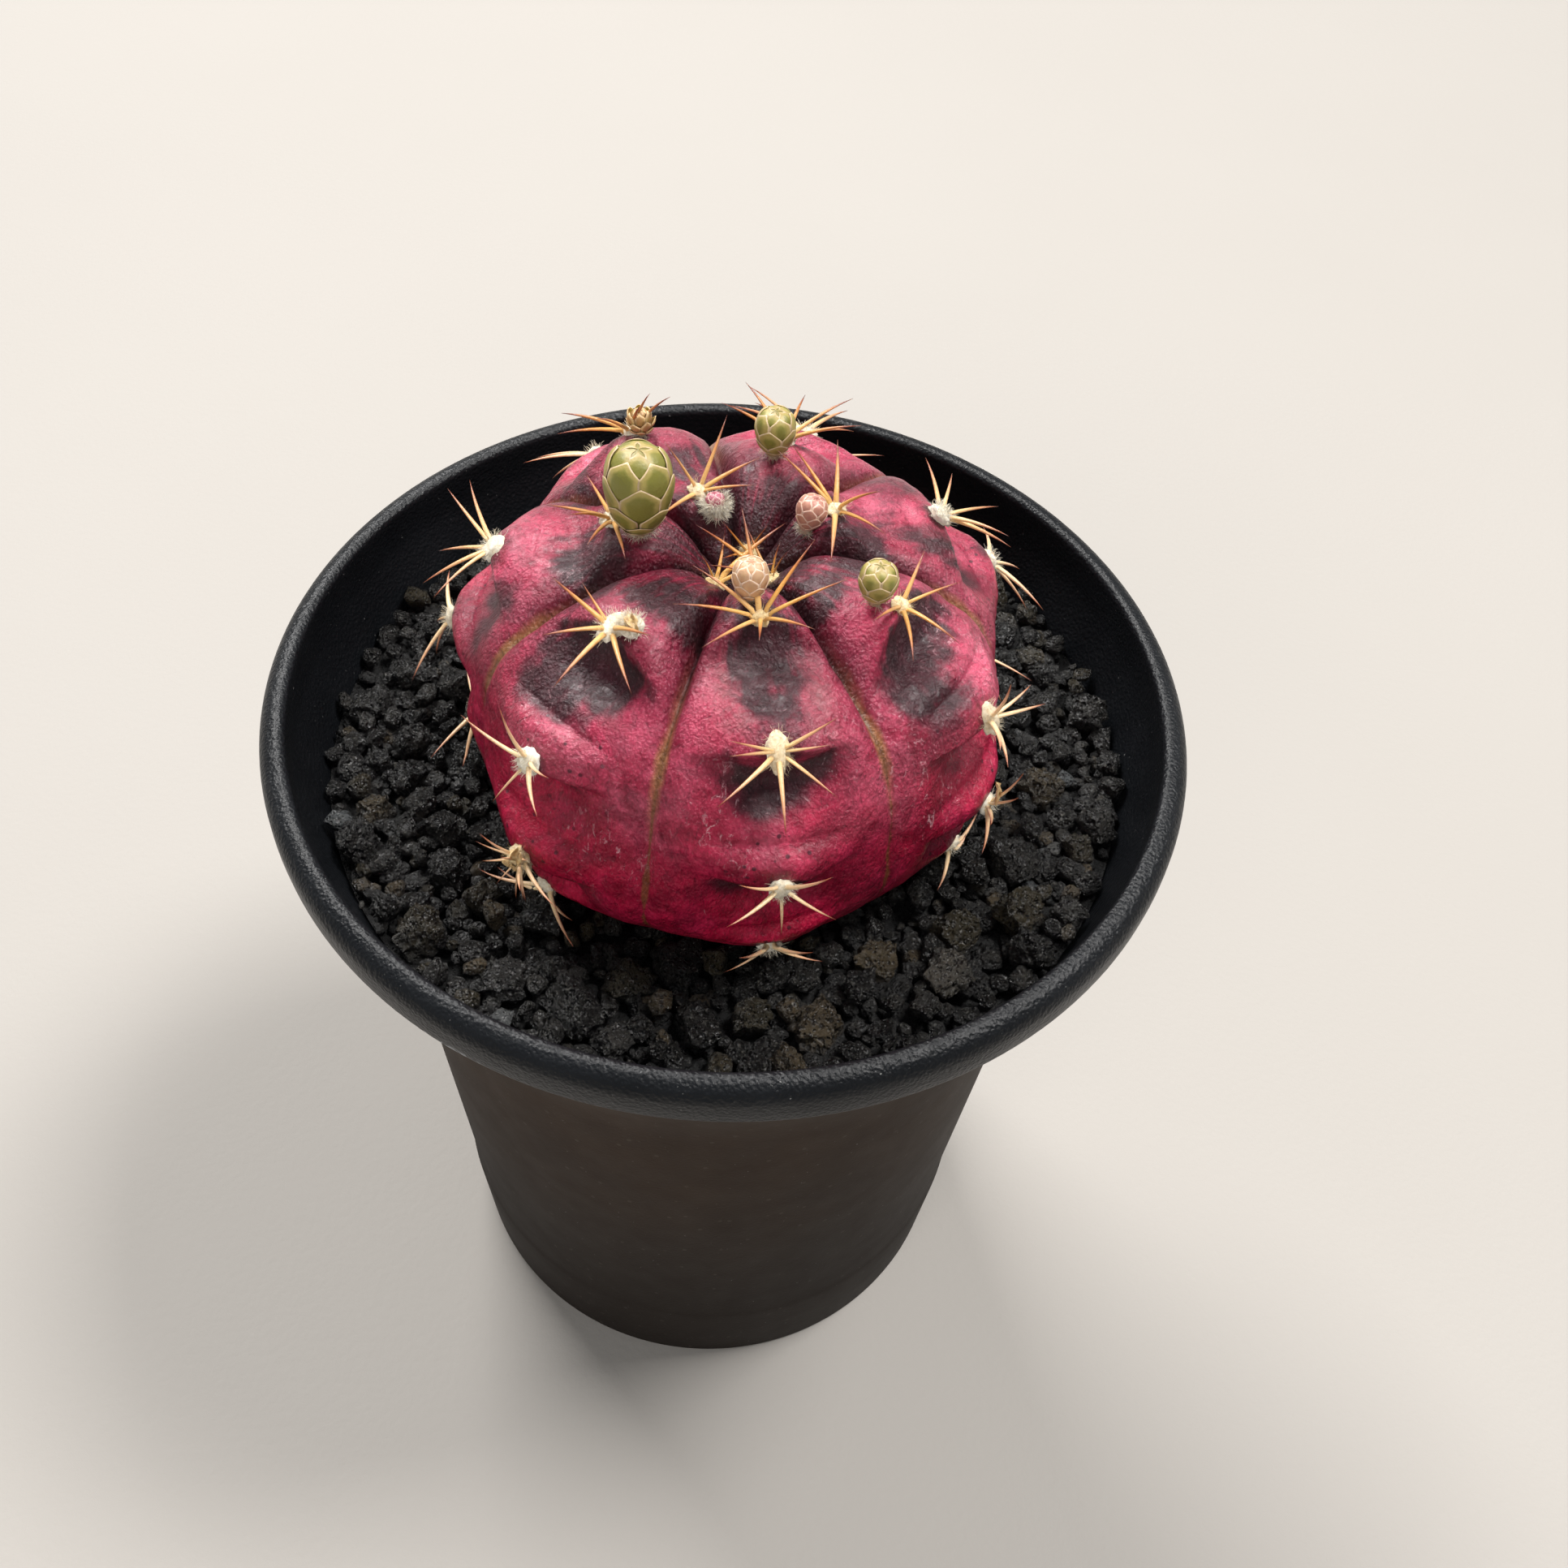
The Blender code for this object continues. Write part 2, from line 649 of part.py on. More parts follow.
def bud_frame(settings):
    """Matrix whose origin is a gap above the skin and whose Z is the bud's axis."""
    turn, station = (math.radians(value) for value in settings["at"])
    point, normal = skin_point(turn, station)
    axis = (Vector((0, 0, 1)).lerp(normal, settings["lean"])).normalized()
    matrix = axis.to_track_quat("Z", "Y").to_matrix().to_4x4()
    foot = BUD_FOOT * settings["width"] * MM / 2
    tilt = axis.angle(normal)
    matrix.translation = point + axis * ((BUD_GAP + foot * math.sin(tilt)) / math.cos(tilt))
    return matrix


def bud_profile(width, height, rows):
    """(radius, height) points of an egg with a narrow foot."""
    points = [(0.0, 0.0), (BUD_FOOT * width / 2, 0.0)]
    for index in range(1, rows + 1):
        angle = math.pi * (0.14 + 0.86 * index / (rows + 1))
        points.append((math.sin(angle) ** 0.9 * width / 2, height * (0.52 - 0.48 * math.cos(angle))))
    points.append((0.0, height))
    return points


def raise_scales(builder, width):
    """Turns the egg's grid into diamonds in staggered rings, and raises each one as a scale."""
    grid_edges = builder.edges[:]
    bmesh.ops.poke(builder, faces=builder.faces)
    bmesh.ops.dissolve_edges(builder, edges=grid_edges, use_verts=False)
    bmesh.ops.inset_individual(
        builder,
        faces=builder.faces[:],
        thickness=SCALE_MARGIN * width,
        depth=SCALE_RISE * width,
        use_even_offset=True,
    )


def lift_clear(builder, axis, skin):
    """Moves a bud along its axis until it stands off the plant by the gap."""
    for _ in range(LIFT_TRIES):
        nearest = min(skin.find_nearest(vertex.co)[3] for vertex in builder.verts)
        if nearest >= GAP:
            return
        bmesh.ops.translate(builder, vec=axis * (GAP - nearest + LIFT_EXTRA), verts=builder.verts)


def make_bud(name, settings, skin):
    width = settings["width"] * MM
    height = settings["height"] * MM
    around, rows = settings["scales"]
    builder = spin_profile(bud_profile(width, height, rows), around)
    raise_scales(builder, width)
    frame = bud_frame(settings)
    bmesh.ops.transform(builder, matrix=frame, verts=builder.verts)
    lift_clear(builder, frame.to_3x3().col[2], skin)
    face_outwards(builder)
    bud = make_object(name, builder)
    finish_object(bud, make_material(name, BUD_COLOURS[name], 0.6), 25)


def main():
    clear_scene()
    make_pot()
    cactus = make_cactus()
    make_grit()
    skin = BVHTree.FromObject(cactus, bpy.context.evaluated_depsgraph_get())
    for name, settings in BUDS.items():
        make_bud(name, settings, skin)


main()
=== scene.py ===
import json
import math
import random

import bmesh
import bpy
import numpy as np
from mathutils import Matrix, Vector, noise

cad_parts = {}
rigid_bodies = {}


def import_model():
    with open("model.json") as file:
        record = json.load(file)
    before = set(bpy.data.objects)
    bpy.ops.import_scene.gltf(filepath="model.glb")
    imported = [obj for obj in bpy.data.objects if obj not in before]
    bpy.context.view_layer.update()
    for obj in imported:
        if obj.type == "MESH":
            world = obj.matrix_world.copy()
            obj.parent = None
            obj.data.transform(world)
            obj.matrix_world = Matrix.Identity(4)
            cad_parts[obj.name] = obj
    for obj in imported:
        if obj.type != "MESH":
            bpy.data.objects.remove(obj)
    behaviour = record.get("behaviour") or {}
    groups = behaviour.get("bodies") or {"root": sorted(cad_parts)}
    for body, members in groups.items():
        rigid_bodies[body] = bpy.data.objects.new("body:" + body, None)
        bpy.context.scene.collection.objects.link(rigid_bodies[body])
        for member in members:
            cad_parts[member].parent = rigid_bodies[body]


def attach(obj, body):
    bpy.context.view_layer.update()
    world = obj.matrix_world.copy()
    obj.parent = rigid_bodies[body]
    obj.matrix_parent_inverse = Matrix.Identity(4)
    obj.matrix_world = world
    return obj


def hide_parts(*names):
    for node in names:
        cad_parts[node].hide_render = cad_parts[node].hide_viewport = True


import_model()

mm = 0.001
turnFull = math.tau
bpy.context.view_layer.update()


# shared helpers

class NodeKit:
    # a new material with short calls for the nodes it needs; colour is the one being built up

    def __init__(self, name, roughness, specular, tones):
        self.material = bpy.data.materials.new(name)
        self.material.use_nodes = True
        self.tree = self.material.node_tree
        self.coords = self.tree.nodes.new("ShaderNodeTexCoord").outputs["Object"]
        self.tones = tones
        self.colour = None
        self.finish(Roughness=roughness, Specular_IOR_Level=specular)

    def finish(self, **values):
        # sets the shader's inputs by name, underscores standing for spaces
        shader = self.tree.nodes["Principled BSDF"]
        for name, value in values.items():
            self.put(shader.inputs[name.replace("_", " ")], value)
        return self.material

    def put(self, socket, value):
        if isinstance(value, bpy.types.NodeSocket):
            self.tree.links.new(value, socket)
        elif isinstance(value, tuple) and len(value) == 3 and socket.type == "RGBA":
            socket.default_value = (*value, 1.0)
        else:
            socket.default_value = value

    def node(self, kind, **values):
        # a new node with its inputs set by name, underscores standing for spaces
        node = self.tree.nodes.new("ShaderNode" + kind)
        for name, value in values.items():
            self.put(node.inputs[name.replace("_", " ")], value)
        return node

    def attribute(self, name):
        node = self.node("Attribute")
        node.attribute_name = name
        return node.outputs["Fac"]

    def noise(self, scale, detail=4.0, rough=0.55, distortion=0.0, coords=None):
        return self.node("TexNoise", Vector=coords or self.coords, Scale=scale, Detail=detail,
                         Roughness=rough, Distortion=distortion).outputs["Fac"]

    def voronoi(self, scale, feature="F1", coords=None):
        node = self.node("TexVoronoi", Vector=coords or self.coords, Scale=scale)
        node.feature = feature
        return node.outputs["Distance"]

    def math(self, operation, first, second=0.0, third=0.0):
        node = self.tree.nodes.new("ShaderNodeMath")
        node.operation = operation
        for socket, value in zip(node.inputs, (first, second, third)):
            self.put(socket, value)
        return node.outputs[0]

    def times(self, product, *factors):
        for factor in factors:
            product = self.math("MULTIPLY", product, factor)
        return product

    def linear(self, value, factor, offset):
        return self.math("MULTIPLY_ADD", value, factor, offset)

    def spread(self, value, low, high):
        # 0 at low, 1 at high, clamped
        node = self.node("MapRange", Value=value, From_Min=low, From_Max=high)
        node.interpolation_type = "SMOOTHSTEP"
        return node.outputs["Result"]

    def mix(self, factor, first, second):
        node = self.tree.nodes.new("ShaderNodeMix")
        node.data_type = "RGBA"
        for index, value in ((0, factor), (6, first), (7, second)):
            self.put(node.inputs[index], value)
        return node.outputs[2]

    def between(self, value, low, high, tone):
        # from a tone's first colour at low to its second at high
        return self.mix(self.spread(value, low, high), *self.tones[tone])

    def tint(self, tone, *factors):
        # moves the colour towards a tone by the product of the factors
        self.colour = self.mix(self.times(*factors), self.colour, self.tones[tone])

    def ramp(self, value, stops):
        node = self.node("ValToRGB", Fac=value)
        elements = node.color_ramp.elements
        while len(elements) < len(stops):
            elements.new(1.0)
        for element, (place, colour) in zip(elements, stops):
            element.position = place
            element.color = (*colour, 1.0)
        return node.outputs["Color"]

    def scaled(self, size):
        return self.node("Mapping", Vector=self.coords, Scale=size).outputs["Vector"]

    def height(self):
        return self.node("SeparateXYZ", Vector=self.coords).outputs["Z"]

    def bump(self, height, distance, strength=1.0, normal=None):
        node = self.node("Bump", Strength=strength, Distance=distance, Height=height)
        if normal:
            self.put(node.inputs["Normal"], normal)
        return node.outputs["Normal"]


def addPiece(name, builder, material, slot, *nodes):
    # turns a bmesh into a piece of the object that stands for the CAD nodes
    mesh = bpy.data.meshes.new(name)
    builder.to_mesh(mesh)
    builder.free()
    mesh.materials.append(material)
    mesh.shade_smooth()
    piece = bpy.data.objects.new(name, mesh)
    bpy.context.scene.collection.objects.link(piece)
    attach(piece, "root")
    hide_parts(*nodes)
    print("piece", name, len(mesh.polygons), "faces")
    return piece


def meshOf(name, builder):
    mesh = bpy.data.meshes.new(name)
    builder.to_mesh(mesh)
    builder.free()
    return mesh


def stamp(builder, template, matrix, values):
    # adds one placed copy of a small mesh, with its own attribute values
    copy = template.copy()
    copy.transform(matrix)
    for key, value in values.items():
        copy.attributes[key].data.foreach_set("value", [value] * len(copy.vertices))
    builder.from_mesh(copy)
    bpy.data.meshes.remove(copy)


def faceOut(builder):
    bmesh.ops.recalc_face_normals(builder, faces=builder.faces)
    if builder.calc_volume(signed=True) < 0:
        bmesh.ops.reverse_faces(builder, faces=builder.faces)


def spinSolid(profile, steps):
    # closed turned solid from (radius, height) points
    builder = bmesh.new()
    points = [builder.verts.new((radius, 0.0, height)) for radius, height in profile]
    edges = [builder.edges.new(pair) for pair in zip(points, points[1:])]
    bmesh.ops.spin(builder, geom=points + edges, axis=(0, 0, 1), cent=(0, 0, 0), angle=turnFull,
                   steps=steps, use_merge=True)
    bmesh.ops.remove_doubles(builder, verts=builder.verts, dist=1e-7)
    faceOut(builder)
    return builder


def growTube(builder, path, radii, sides, flat, layers, values):
    # tube through points, closed at both ends, thinned to the radius given at each point.
    # Layers are vertex layers; values gives each layer's numbers, one a point
    made = bmesh.ops.create_circle(builder, cap_ends=True, segments=sides, radius=1.0)
    ring = made["verts"]
    rings = [ring]
    cap = next(iter(ring[0].link_faces))
    base = bmesh.ops.duplicate(builder, geom=[cap])
    other = [item for item in base["geom"] if isinstance(item, bmesh.types.BMFace)][0]
    bmesh.ops.reverse_faces(builder, faces=[other])
    baseRing = list(other.verts)
    for _ in path[1:]:
        cap = bmesh.ops.extrude_discrete_faces(builder, faces=[cap])["faces"][0]
        rings.append(list(cap.verts))
    up = Vector((0, 0, 1))
    for index, point in enumerate(path):
        ahead = (path[min(index + 1, len(path) - 1)] - path[max(index - 1, 0)]).normalized()
        side = ahead.cross(up)
        side = side.normalized() if side.length > 0.05 else ahead.orthogonal().normalized()
        rise = side.cross(ahead)
        for step, vertex in enumerate(rings[index]):
            angle = turnFull * step / sides
            vertex.co = point + (side * math.cos(angle) + rise * math.sin(angle) * flat) * radii[index]
            for layer, numbers in zip(layers, values):
                vertex[layer] = numbers[index]
    for vertex in baseRing:
        match = min(rings[0], key=lambda item: (item.co - vertex.co).length)
        vertex.co = match.co


# camera, floor and light

viewing = {
    "place": (0.0, -0.1093, 0.2118),
    "yaw": 3.16,
    "down": 50.68,
    "roll": 5.12,
    "lens": 37.85,
}


def placeCamera():
    yaw, down, roll = (math.radians(viewing[key]) for key in ("yaw", "down", "roll"))
    forward = Vector((math.sin(yaw) * math.cos(down), math.cos(yaw) * math.cos(down), -math.sin(down)))
    level = Vector((math.cos(yaw), -math.sin(yaw), 0.0))
    rise = level.cross(forward)
    right = level * math.cos(roll) + rise * math.sin(roll)
    up = rise * math.cos(roll) - level * math.sin(roll)
    data = bpy.data.cameras.new("camera")
    data.lens = viewing["lens"]
    data.sensor_width = 36
    data.clip_start = 0.01
    camera = bpy.data.objects.new("camera", data)
    matrix = Matrix((right, up, -forward)).transposed().to_4x4()
    matrix.translation = viewing["place"]
    camera.matrix_world = matrix
    bpy.context.scene.collection.objects.link(camera)
    bpy.context.scene.camera = camera


def addArea(name, place, target, size, power, colour, shiny=True):
    data = bpy.data.lights.new(name, "AREA")
    data.shape = "RECTANGLE"
    data.size, data.size_y = size
    data.energy = power
    data.color = colour
    light = bpy.data.objects.new(name, data)
    light.location = place
    light.visible_glossy = shiny
    light.rotation_euler = (Vector(target) - Vector(place)).to_track_quat("-Z", "Y").to_euler()
    bpy.context.scene.collection.objects.link(light)


def makeStudio():
    builder = bmesh.new()
    bmesh.ops.create_grid(builder, x_segments=8, y_segments=8, size=2.5)
    mesh = meshOf("floor", builder)
    kit = NodeKit("floorPaint", 0.75, 0.3, {"floor": ((0.335, 0.315, 0.29), (0.36, 0.34, 0.315))})
    mesh.materials.append(kit.finish(Base_Color=kit.mix(kit.noise(6.0, 5.0), *kit.tones["floor"]),
                                     Normal=kit.bump(kit.noise(900.0, 3.0), 0.0002, 0.3)))
    floor = bpy.data.objects.new("floor", mesh)
    bpy.context.scene.collection.objects.link(floor)
    world = bpy.data.worlds.new("softSky")
    world.use_nodes = True
    sky = world.node_tree.nodes["Background"]
    sky.inputs["Color"].default_value = (0.90, 0.95, 1.0, 1.0)
    sky.inputs["Strength"].default_value = 0.27
    bpy.context.scene.world = world
    addArea("windowLight", (-0.42, 0.78, 1.05), (0, 0, 0.10), (0.60, 0.42), 24.5, (1.0, 0.985, 0.97))
    addArea("topLight", (0.50, 0.14, 1.12), (0, 0, 0.10), (0.34, 0.34), 16.0, (1.0, 0.98, 0.96))
    addArea("frontFill", (-0.32, -0.80, 0.62), (0, 0, 0.09), (0.6, 0.5), 4.4, (1.0, 0.96, 0.93), False)
    view = bpy.context.scene.view_settings
    view.view_transform = "Standard"


placeCamera()
makeStudio()
print("camera, floor and lights placed")


# the plant's form, the same as the CAD body's, with finer relief on top

body = {
    "axis": Vector((0.3 * mm, -2.7 * mm, 0.0)),
    "radius": 25.1 * mm,
    "middle": 97.0 * mm,
    "rise": 18.6 * mm,
    "drop": 18.2 * mm,
    "squareness": 0.774,
    "crownDip": 4.6 * mm,
    "crownDipRadius": 5.2 * mm,
    "ribs": 7,
    "frontRib": math.radians(280),
    "stepsPerRib": 52,
    "rows": 168,
    "buriedRows": 10,
    "buriedFrom": math.radians(126),
}
ribPitch = turnFull / body["ribs"]

# degrees from the crown of each areole, rib by rib from the front one counter-clockwise
stations = (
    (19, 50, 85, 112),
    (31, 68, 92, 113),
    (15, 45, 74, 100),
    (25, 50, 78, 104),
    (11, 38, 69, 98),
    (20, 51, 80, 108),
    (31, 69, 94, 113),
)


def envelope(polar):
    # radius and height of the crest line at angles from the crown, as arrays
    rise = np.where(polar < math.pi / 2, body["rise"], body["drop"])
    sine = np.clip(np.sin(polar), 0.0, 1.0)
    cosine = np.cos(polar)
    radius = body["radius"] * sine ** body["squareness"]
    height = body["middle"] + np.sign(cosine) * rise * np.abs(cosine) ** body["squareness"]
    dip = body["crownDip"] * np.exp(-((radius / body["crownDipRadius"]) ** 2))
    return radius, height - np.where(polar < math.pi / 2, dip, 0.0)


def envelopeFrame(turn, polar):
    # points with outward, down-rib and sideways directions, each an array of rows
    before = envelope(np.maximum(polar - 0.01, 0.0))
    after = envelope(np.minimum(polar + 0.01, math.pi))
    slope = np.stack([after[0] - before[0], after[1] - before[1]], -1)
    slope /= np.linalg.norm(slope, axis=-1, keepdims=True)
    angle = body["frontRib"] + turn
    zero = np.zeros_like(angle)
    outward = np.stack([np.cos(angle), np.sin(angle), zero], -1)
    sideways = np.stack([-np.sin(angle), np.cos(angle), zero], -1)
    lift = np.array([0.0, 0.0, 1.0])
    radius, height = envelope(polar)
    point = np.array(body["axis"]) + outward * radius[:, None] + lift * height[:, None]
    down = outward * slope[:, :1] + lift * slope[:, 1:]
    normal = outward * -slope[:, 1:] + lift * slope[:, :1]
    return point, normal, down, sideways


areolePlaces = [(rib, station) for rib, row in enumerate(stations) for station in row]
areoleTurns = np.array([rib * ribPitch for rib, _ in areolePlaces])
areolePolars = np.radians([float(station) for _, station in areolePlaces])
areoleBase = envelopeFrame(areoleTurns, areolePolars)

relief = {
    "furrowSharpness": 2.4,
    "furrowTop": 2.9 * mm,
    "furrowSide": 1.5 * mm,
    "furrowFade": (math.radians(118), math.radians(132)),
    "ledge": 1.5 * mm,
    "ledgeWidth": 4.2 * mm,
    "ledgeAbove": 4.2 * mm,
    "ledgeBelow": 1.8 * mm,
    "hollow": 1.1 * mm,
    "hollowWidth": 5.0 * mm,
    "hollowDrop": 3.9 * mm,
    "hollowLength": 2.2 * mm,
    "trench": 0.85 * mm,
    "trenchWidth": 0.42 * mm,
    "chin": 0.50 * mm,
    "undercut": 1.05 * mm,
    "edgeDrop": 0.85 * mm,
    "wideHollow": 0.35 * mm,
    "crease": 0.8 * mm,
    "creaseShare": 0.69,
    "upperLip": 0.5 * mm,
    "shoulder": 5.6,
    "fineFurrow": ((0, 8, 18, 30, 42, 58, 76, 95, 112, 126),
                   (0, 2.7, 3.1, 2.35, 1.6, 1.15, 1.0, 0.7, 0.5, 0.0)),
    "fineLedge": 0.72,
    "dipDeeper": 1.7 * mm,
}


def furrowShare(turn):
    # 0 along a rib's crest, 1 in the furrow
    return np.abs((turn / ribPitch + 0.5) % 1.0 - 0.5) * 2


def furrowDepth(polar):
    topShare = 1 - np.minimum(polar / math.radians(70), 1.0)
    depth = relief["furrowSide"] + (relief["furrowTop"] - relief["furrowSide"]) * topShare ** 0.5
    start, end = relief["furrowFade"]
    fade = 1 - np.clip((polar - start) / (end - start), 0.0, 1.0)
    return depth * fade * np.minimum(polar / math.radians(8), 1.0)


def areoleOffsets(points):
    # each areole's rib and station, then the points' distances down and across from it
    for index, (rib, station) in enumerate(areolePlaces):
        offset = points - areoleBase[0][index]
        along = offset @ areoleBase[2][index]
        across = offset @ areoleBase[3][index]
        near = np.linalg.norm(offset, axis=-1) < 15 * mm
        yield rib, station, along, across, near


def bell(value, width, power=2):
    return np.exp(-np.abs(value / width) ** power)


def smoothStep(value):
    value = np.clip(value, 0.0, 1.0)
    return value * value * (3 - 2 * value)


def archBend(station):
    # how far a chin's edge drops (-) or rises (+) at its sides, per mm squared
    if station < 50:
        return -0.07 * (50 - max(station, 19)) / 31 / mm
    return 0.012 / mm


def chinProfile(down):
    # a chin that swells down to its edge and falls off into a hollow
    edge = 0.2 * mm
    rising = relief["chin"] * bell(np.minimum(down - edge, 0.0), 3.0 * mm)
    falling = smoothStep((down - edge) / relief["edgeDrop"])
    hollow = relief["undercut"] * bell(np.maximum(down - edge - relief["edgeDrop"], 0.0), 3.6 * mm)
    return rising * (1 - falling) - hollow * falling


def creaseDistance(rib, station):
    # how far below an areole the crease lies, before the next one's swelling
    later = [other for other in stations[rib] if other > station]
    if not later:
        return None
    index = areolePlaces.index((rib, station))
    after = areolePlaces.index((rib, later[0]))
    gap = np.linalg.norm(areoleBase[0][after] - areoleBase[0][index])
    return gap * relief["creaseShare"]


def tubercleHeight(points, fine):
    height = np.zeros(len(points))
    for rib, station, along, across, near in areoleOffsets(points):
        strength = min(station / 30, 1.0) * (0.6 if station > 97 else 1.0)
        below = relief["ledgeBelow"] * (0.75 if fine else 1.0)
        reach = np.where(along < 0, relief["ledgeAbove"], below)
        ledge = np.exp(-((along / reach) ** 2) - (across / relief["ledgeWidth"]) ** 2)
        hollow = np.exp(-(((along - relief["hollowDrop"]) / relief["hollowLength"]) ** 2)
                        - (across / relief["hollowWidth"]) ** 2)
        raised = relief["ledge"] * (relief["fineLedge"] if fine else 1.0)
        bulge = strength * (raised * ledge - relief["hollow"] * hollow)
        if fine:
            grown = min(station / 40, 1.0) * (0.3 if station > 97 else 1.0)
            arch = along + archBend(station) * across**2
            fineBulge = chinProfile(arch) * bell(across, 5.8 * mm, 4)
            fineBulge -= relief["wideHollow"] * bell(along - 4.8 * mm, 2.6 * mm) * bell(across, 6.4 * mm, 4)
            reach = creaseDistance(rib, station)
            if reach:
                fold = along + 0.012 / mm * across**2 - reach
                wide = 2.3 * mm if station < 25 else 4.8 * mm
                lip = bell(fold - 1.1 * mm, 0.9 * mm) * bell(across, wide + 0.6 * mm, 4)
                fineBulge -= relief["crease"] * np.exp(-np.abs(fold) / (0.42 * mm)) * bell(across, wide, 4)
                fineBulge += relief["upperLip"] * lip
            bulge += grown * fineBulge
        height += np.where(near, bulge, 0.0)
    return height


def furrowDistance(turn, polar):
    # metres across the skin to the nearest furrow line
    radius = envelope(polar)[0]
    return (1 - furrowShare(turn)) * ribPitch / 2 * np.maximum(radius, 1e-5)


def skinPoint(turn, polar, fine=True):
    point, normal, _, _ = envelopeFrame(turn, polar)
    sharpness = relief["furrowSharpness"]
    depth = furrowDepth(polar)
    if fine:
        young = np.clip((math.radians(72) - polar) / math.radians(32), 0.0, 1.0)
        sharpness = sharpness + 0.3 + (relief["shoulder"] - sharpness) * young
        depth = np.interp(np.degrees(polar), *relief["fineFurrow"]) * mm
    height = -depth * furrowShare(turn) ** sharpness
    shown = (polar > math.radians(5)) & (polar < relief["furrowFade"][0])
    height = height + np.where(shown, tubercleHeight(point, fine), 0.0)
    if fine:
        fade = np.clip((math.radians(118) - polar) / 0.2, 0.0, 1.0) * np.clip(polar / 0.15, 0.0, 1.0)
        line = np.exp(-((furrowDistance(turn, polar) / relief["trenchWidth"]) ** 2))
        height -= relief["trench"] * line * fade * (0.2 + 0.8 * smoothStep((math.radians(62) - polar) / 0.35))
        for place, size, rise in shapeSpots:
            height += rise * mm * skinSpot(point, place, size)
        point[:, 2] -= relief["dipDeeper"] * bell(envelope(polar)[0], 4.6 * mm)
    return point + normal * height[:, None], normal


# raised (+) and sunken (-) places of this one plant: place, half sizes and height in mm
shapeSpots = (
    ((128, 54), (4.2, 6.0), 0.8), ((98, 40), (6.0, 5.0), -1.1), ((152, 52), (6.0, 4.0), -1.2),
    ((-26, 100), (8.5, 5.0), 1.5), ((-52, 106), (6.0, 4.0), 0.7), ((-78, 62), (3.4, 5.0), 0.6),
    ((27, 98), (6.0, 4.0), 0.4), ((-50, 42), (3.8, 1.7), -0.55), ((-58, 54), (3.8, 2.0), -0.6),
    ((51, 41), (3.6, 1.7), -0.45), ((0, 61), (4.2, 2.0), -0.45), ((-2, 36), (1.7, 0.8), -0.5),
    ((-30, 27), (1.0, 4.5), -0.3),
)


def skinSpot(points, place, size):
    # soft spot about (degrees round from the front rib, degrees from the crown), with its half sizes in mm
    turn, polar = (np.array([math.radians(value)]) for value in place)
    centre, _, down, sideways = envelopeFrame(turn, polar)
    offset = points - centre[0]
    across = offset @ sideways[0] / (size[0] * mm)
    along = offset @ down[0] / (size[1] * mm)
    depth = np.linalg.norm(offset, axis=-1) < 14 * mm
    return np.exp(-(across**2) - along**2) * depth


def areoleFrame(rib, station):
    return ribFrame(math.degrees(rib * ribPitch), station)


def ribFrame(turnDegrees, station):
    # matrix on the skin with X to the left seen from outside, Y down the rib and Z outwards
    turn = np.array([math.radians(turnDegrees)])
    polar = np.array([math.radians(station)])
    point = skinPoint(turn, polar)[0][0]
    _, normal, down, sideways = (row[0] for row in envelopeFrame(turn, polar))
    matrix = Matrix((-sideways, down, normal)).transposed().to_4x4()
    matrix.translation = point
    return matrix


# skin

# markings that no areole accounts for, the dark ones partly pigment and partly painted shade in folds and
# hollows, the pale ones partly painted highlight on lit tops, flanks and rear tops: place, half sizes in mm,
# strength
skinSpots = {
    "dark": (
        ((0, 25), (2.9, 4.4), 0.85), ((1, 34), (2.0, 3.4), 0.78), ((-58, 53), (3.6, 2.4), 0.85),
        ((-2, 38), (2.3, 1.2), 0.95), ((-43, 17), (4.2, 2.6), 0.85), ((37, 15), (3.6, 2.2), 0.85),
        ((-87, 26), (4.6, 3.2), 0.75), ((79, 19), (4.6, 3.0), 0.85), ((136, 10), (3.0, 2.8), 0.6),
        ((-158, 22), (4.0, 2.6), 0.6), ((165, 16), (2.6, 2.4), 0.35), ((44, 48), (2.6, 3.6), 0.85),
        ((57, 40), (2.4, 2.6), 0.7), ((-58, 47), (3.0, 3.6), 0.8), ((-89, 58), (1.6, 4.4), 0.6),
        ((93, 47), (1.8, 5.2), 0.7), ((-128, 40), (3.0, 4.0), 0.5), ((120, 36), (3.4, 3.0), 0.35),
    ),
    "pale": (
        ((3, 42), (3.4, 1.7), 0.8), ((-93, 46), (3.6, 5.0), 0.6), ((64, 41), (3.0, 5.0), 0.75),
        ((174, 24), (4.2, 4.0), 0.6), ((122, 30), (5.2, 4.6), 0.85), ((-27, 34), (2.6, 3.6), 0.5),
        ((-66, 40), (3.0, 3.6), 0.5), ((28, 27), (2.4, 3.4), 0.6), ((-27, 62), (3.6, 6.0), 0.55),
        ((24, 60), (3.0, 6.0), 0.5), ((60, 60), (4.6, 4.0), 0.75), ((76, 60), (4.0, 6.0), 0.7),
    ),
    "dusty": (
        ((-9, 33), (2.6, 5.4), 1.0), ((10, 36), (2.4, 5.4), 0.8), ((-104, 24), (5.0, 4.0), 0.5),
        ((150, 22), (7.0, 5.0), 0.45), ((85, 32), (5.0, 6.0), 0.4), ((-150, 30), (6.0, 5.0), 0.4),
    ),
    "scuff": (
        ((-13, 68), (2.2, 3.4), 1.0), ((-9, 78), (2.6, 1.6), 0.8), ((14, 58), (1.6, 1.2), 0.7),
        ((30, 62), (3.0, 5.0), 0.8), ((38, 82), (4.0, 4.0), 0.8), ((-34, 86), (4.0, 3.6), 0.8),
        ((-56, 62), (3.4, 4.0), 0.6), ((64, 58), (3.0, 6.0), 0.9), ((22, 36), (1.2, 4.6), 0.8),
        ((-95, 30), (4.0, 3.0), 0.6), ((160, 40), (6.0, 6.0), 0.6), ((-150, 55), (6.0, 6.0), 0.6),
    ),
}
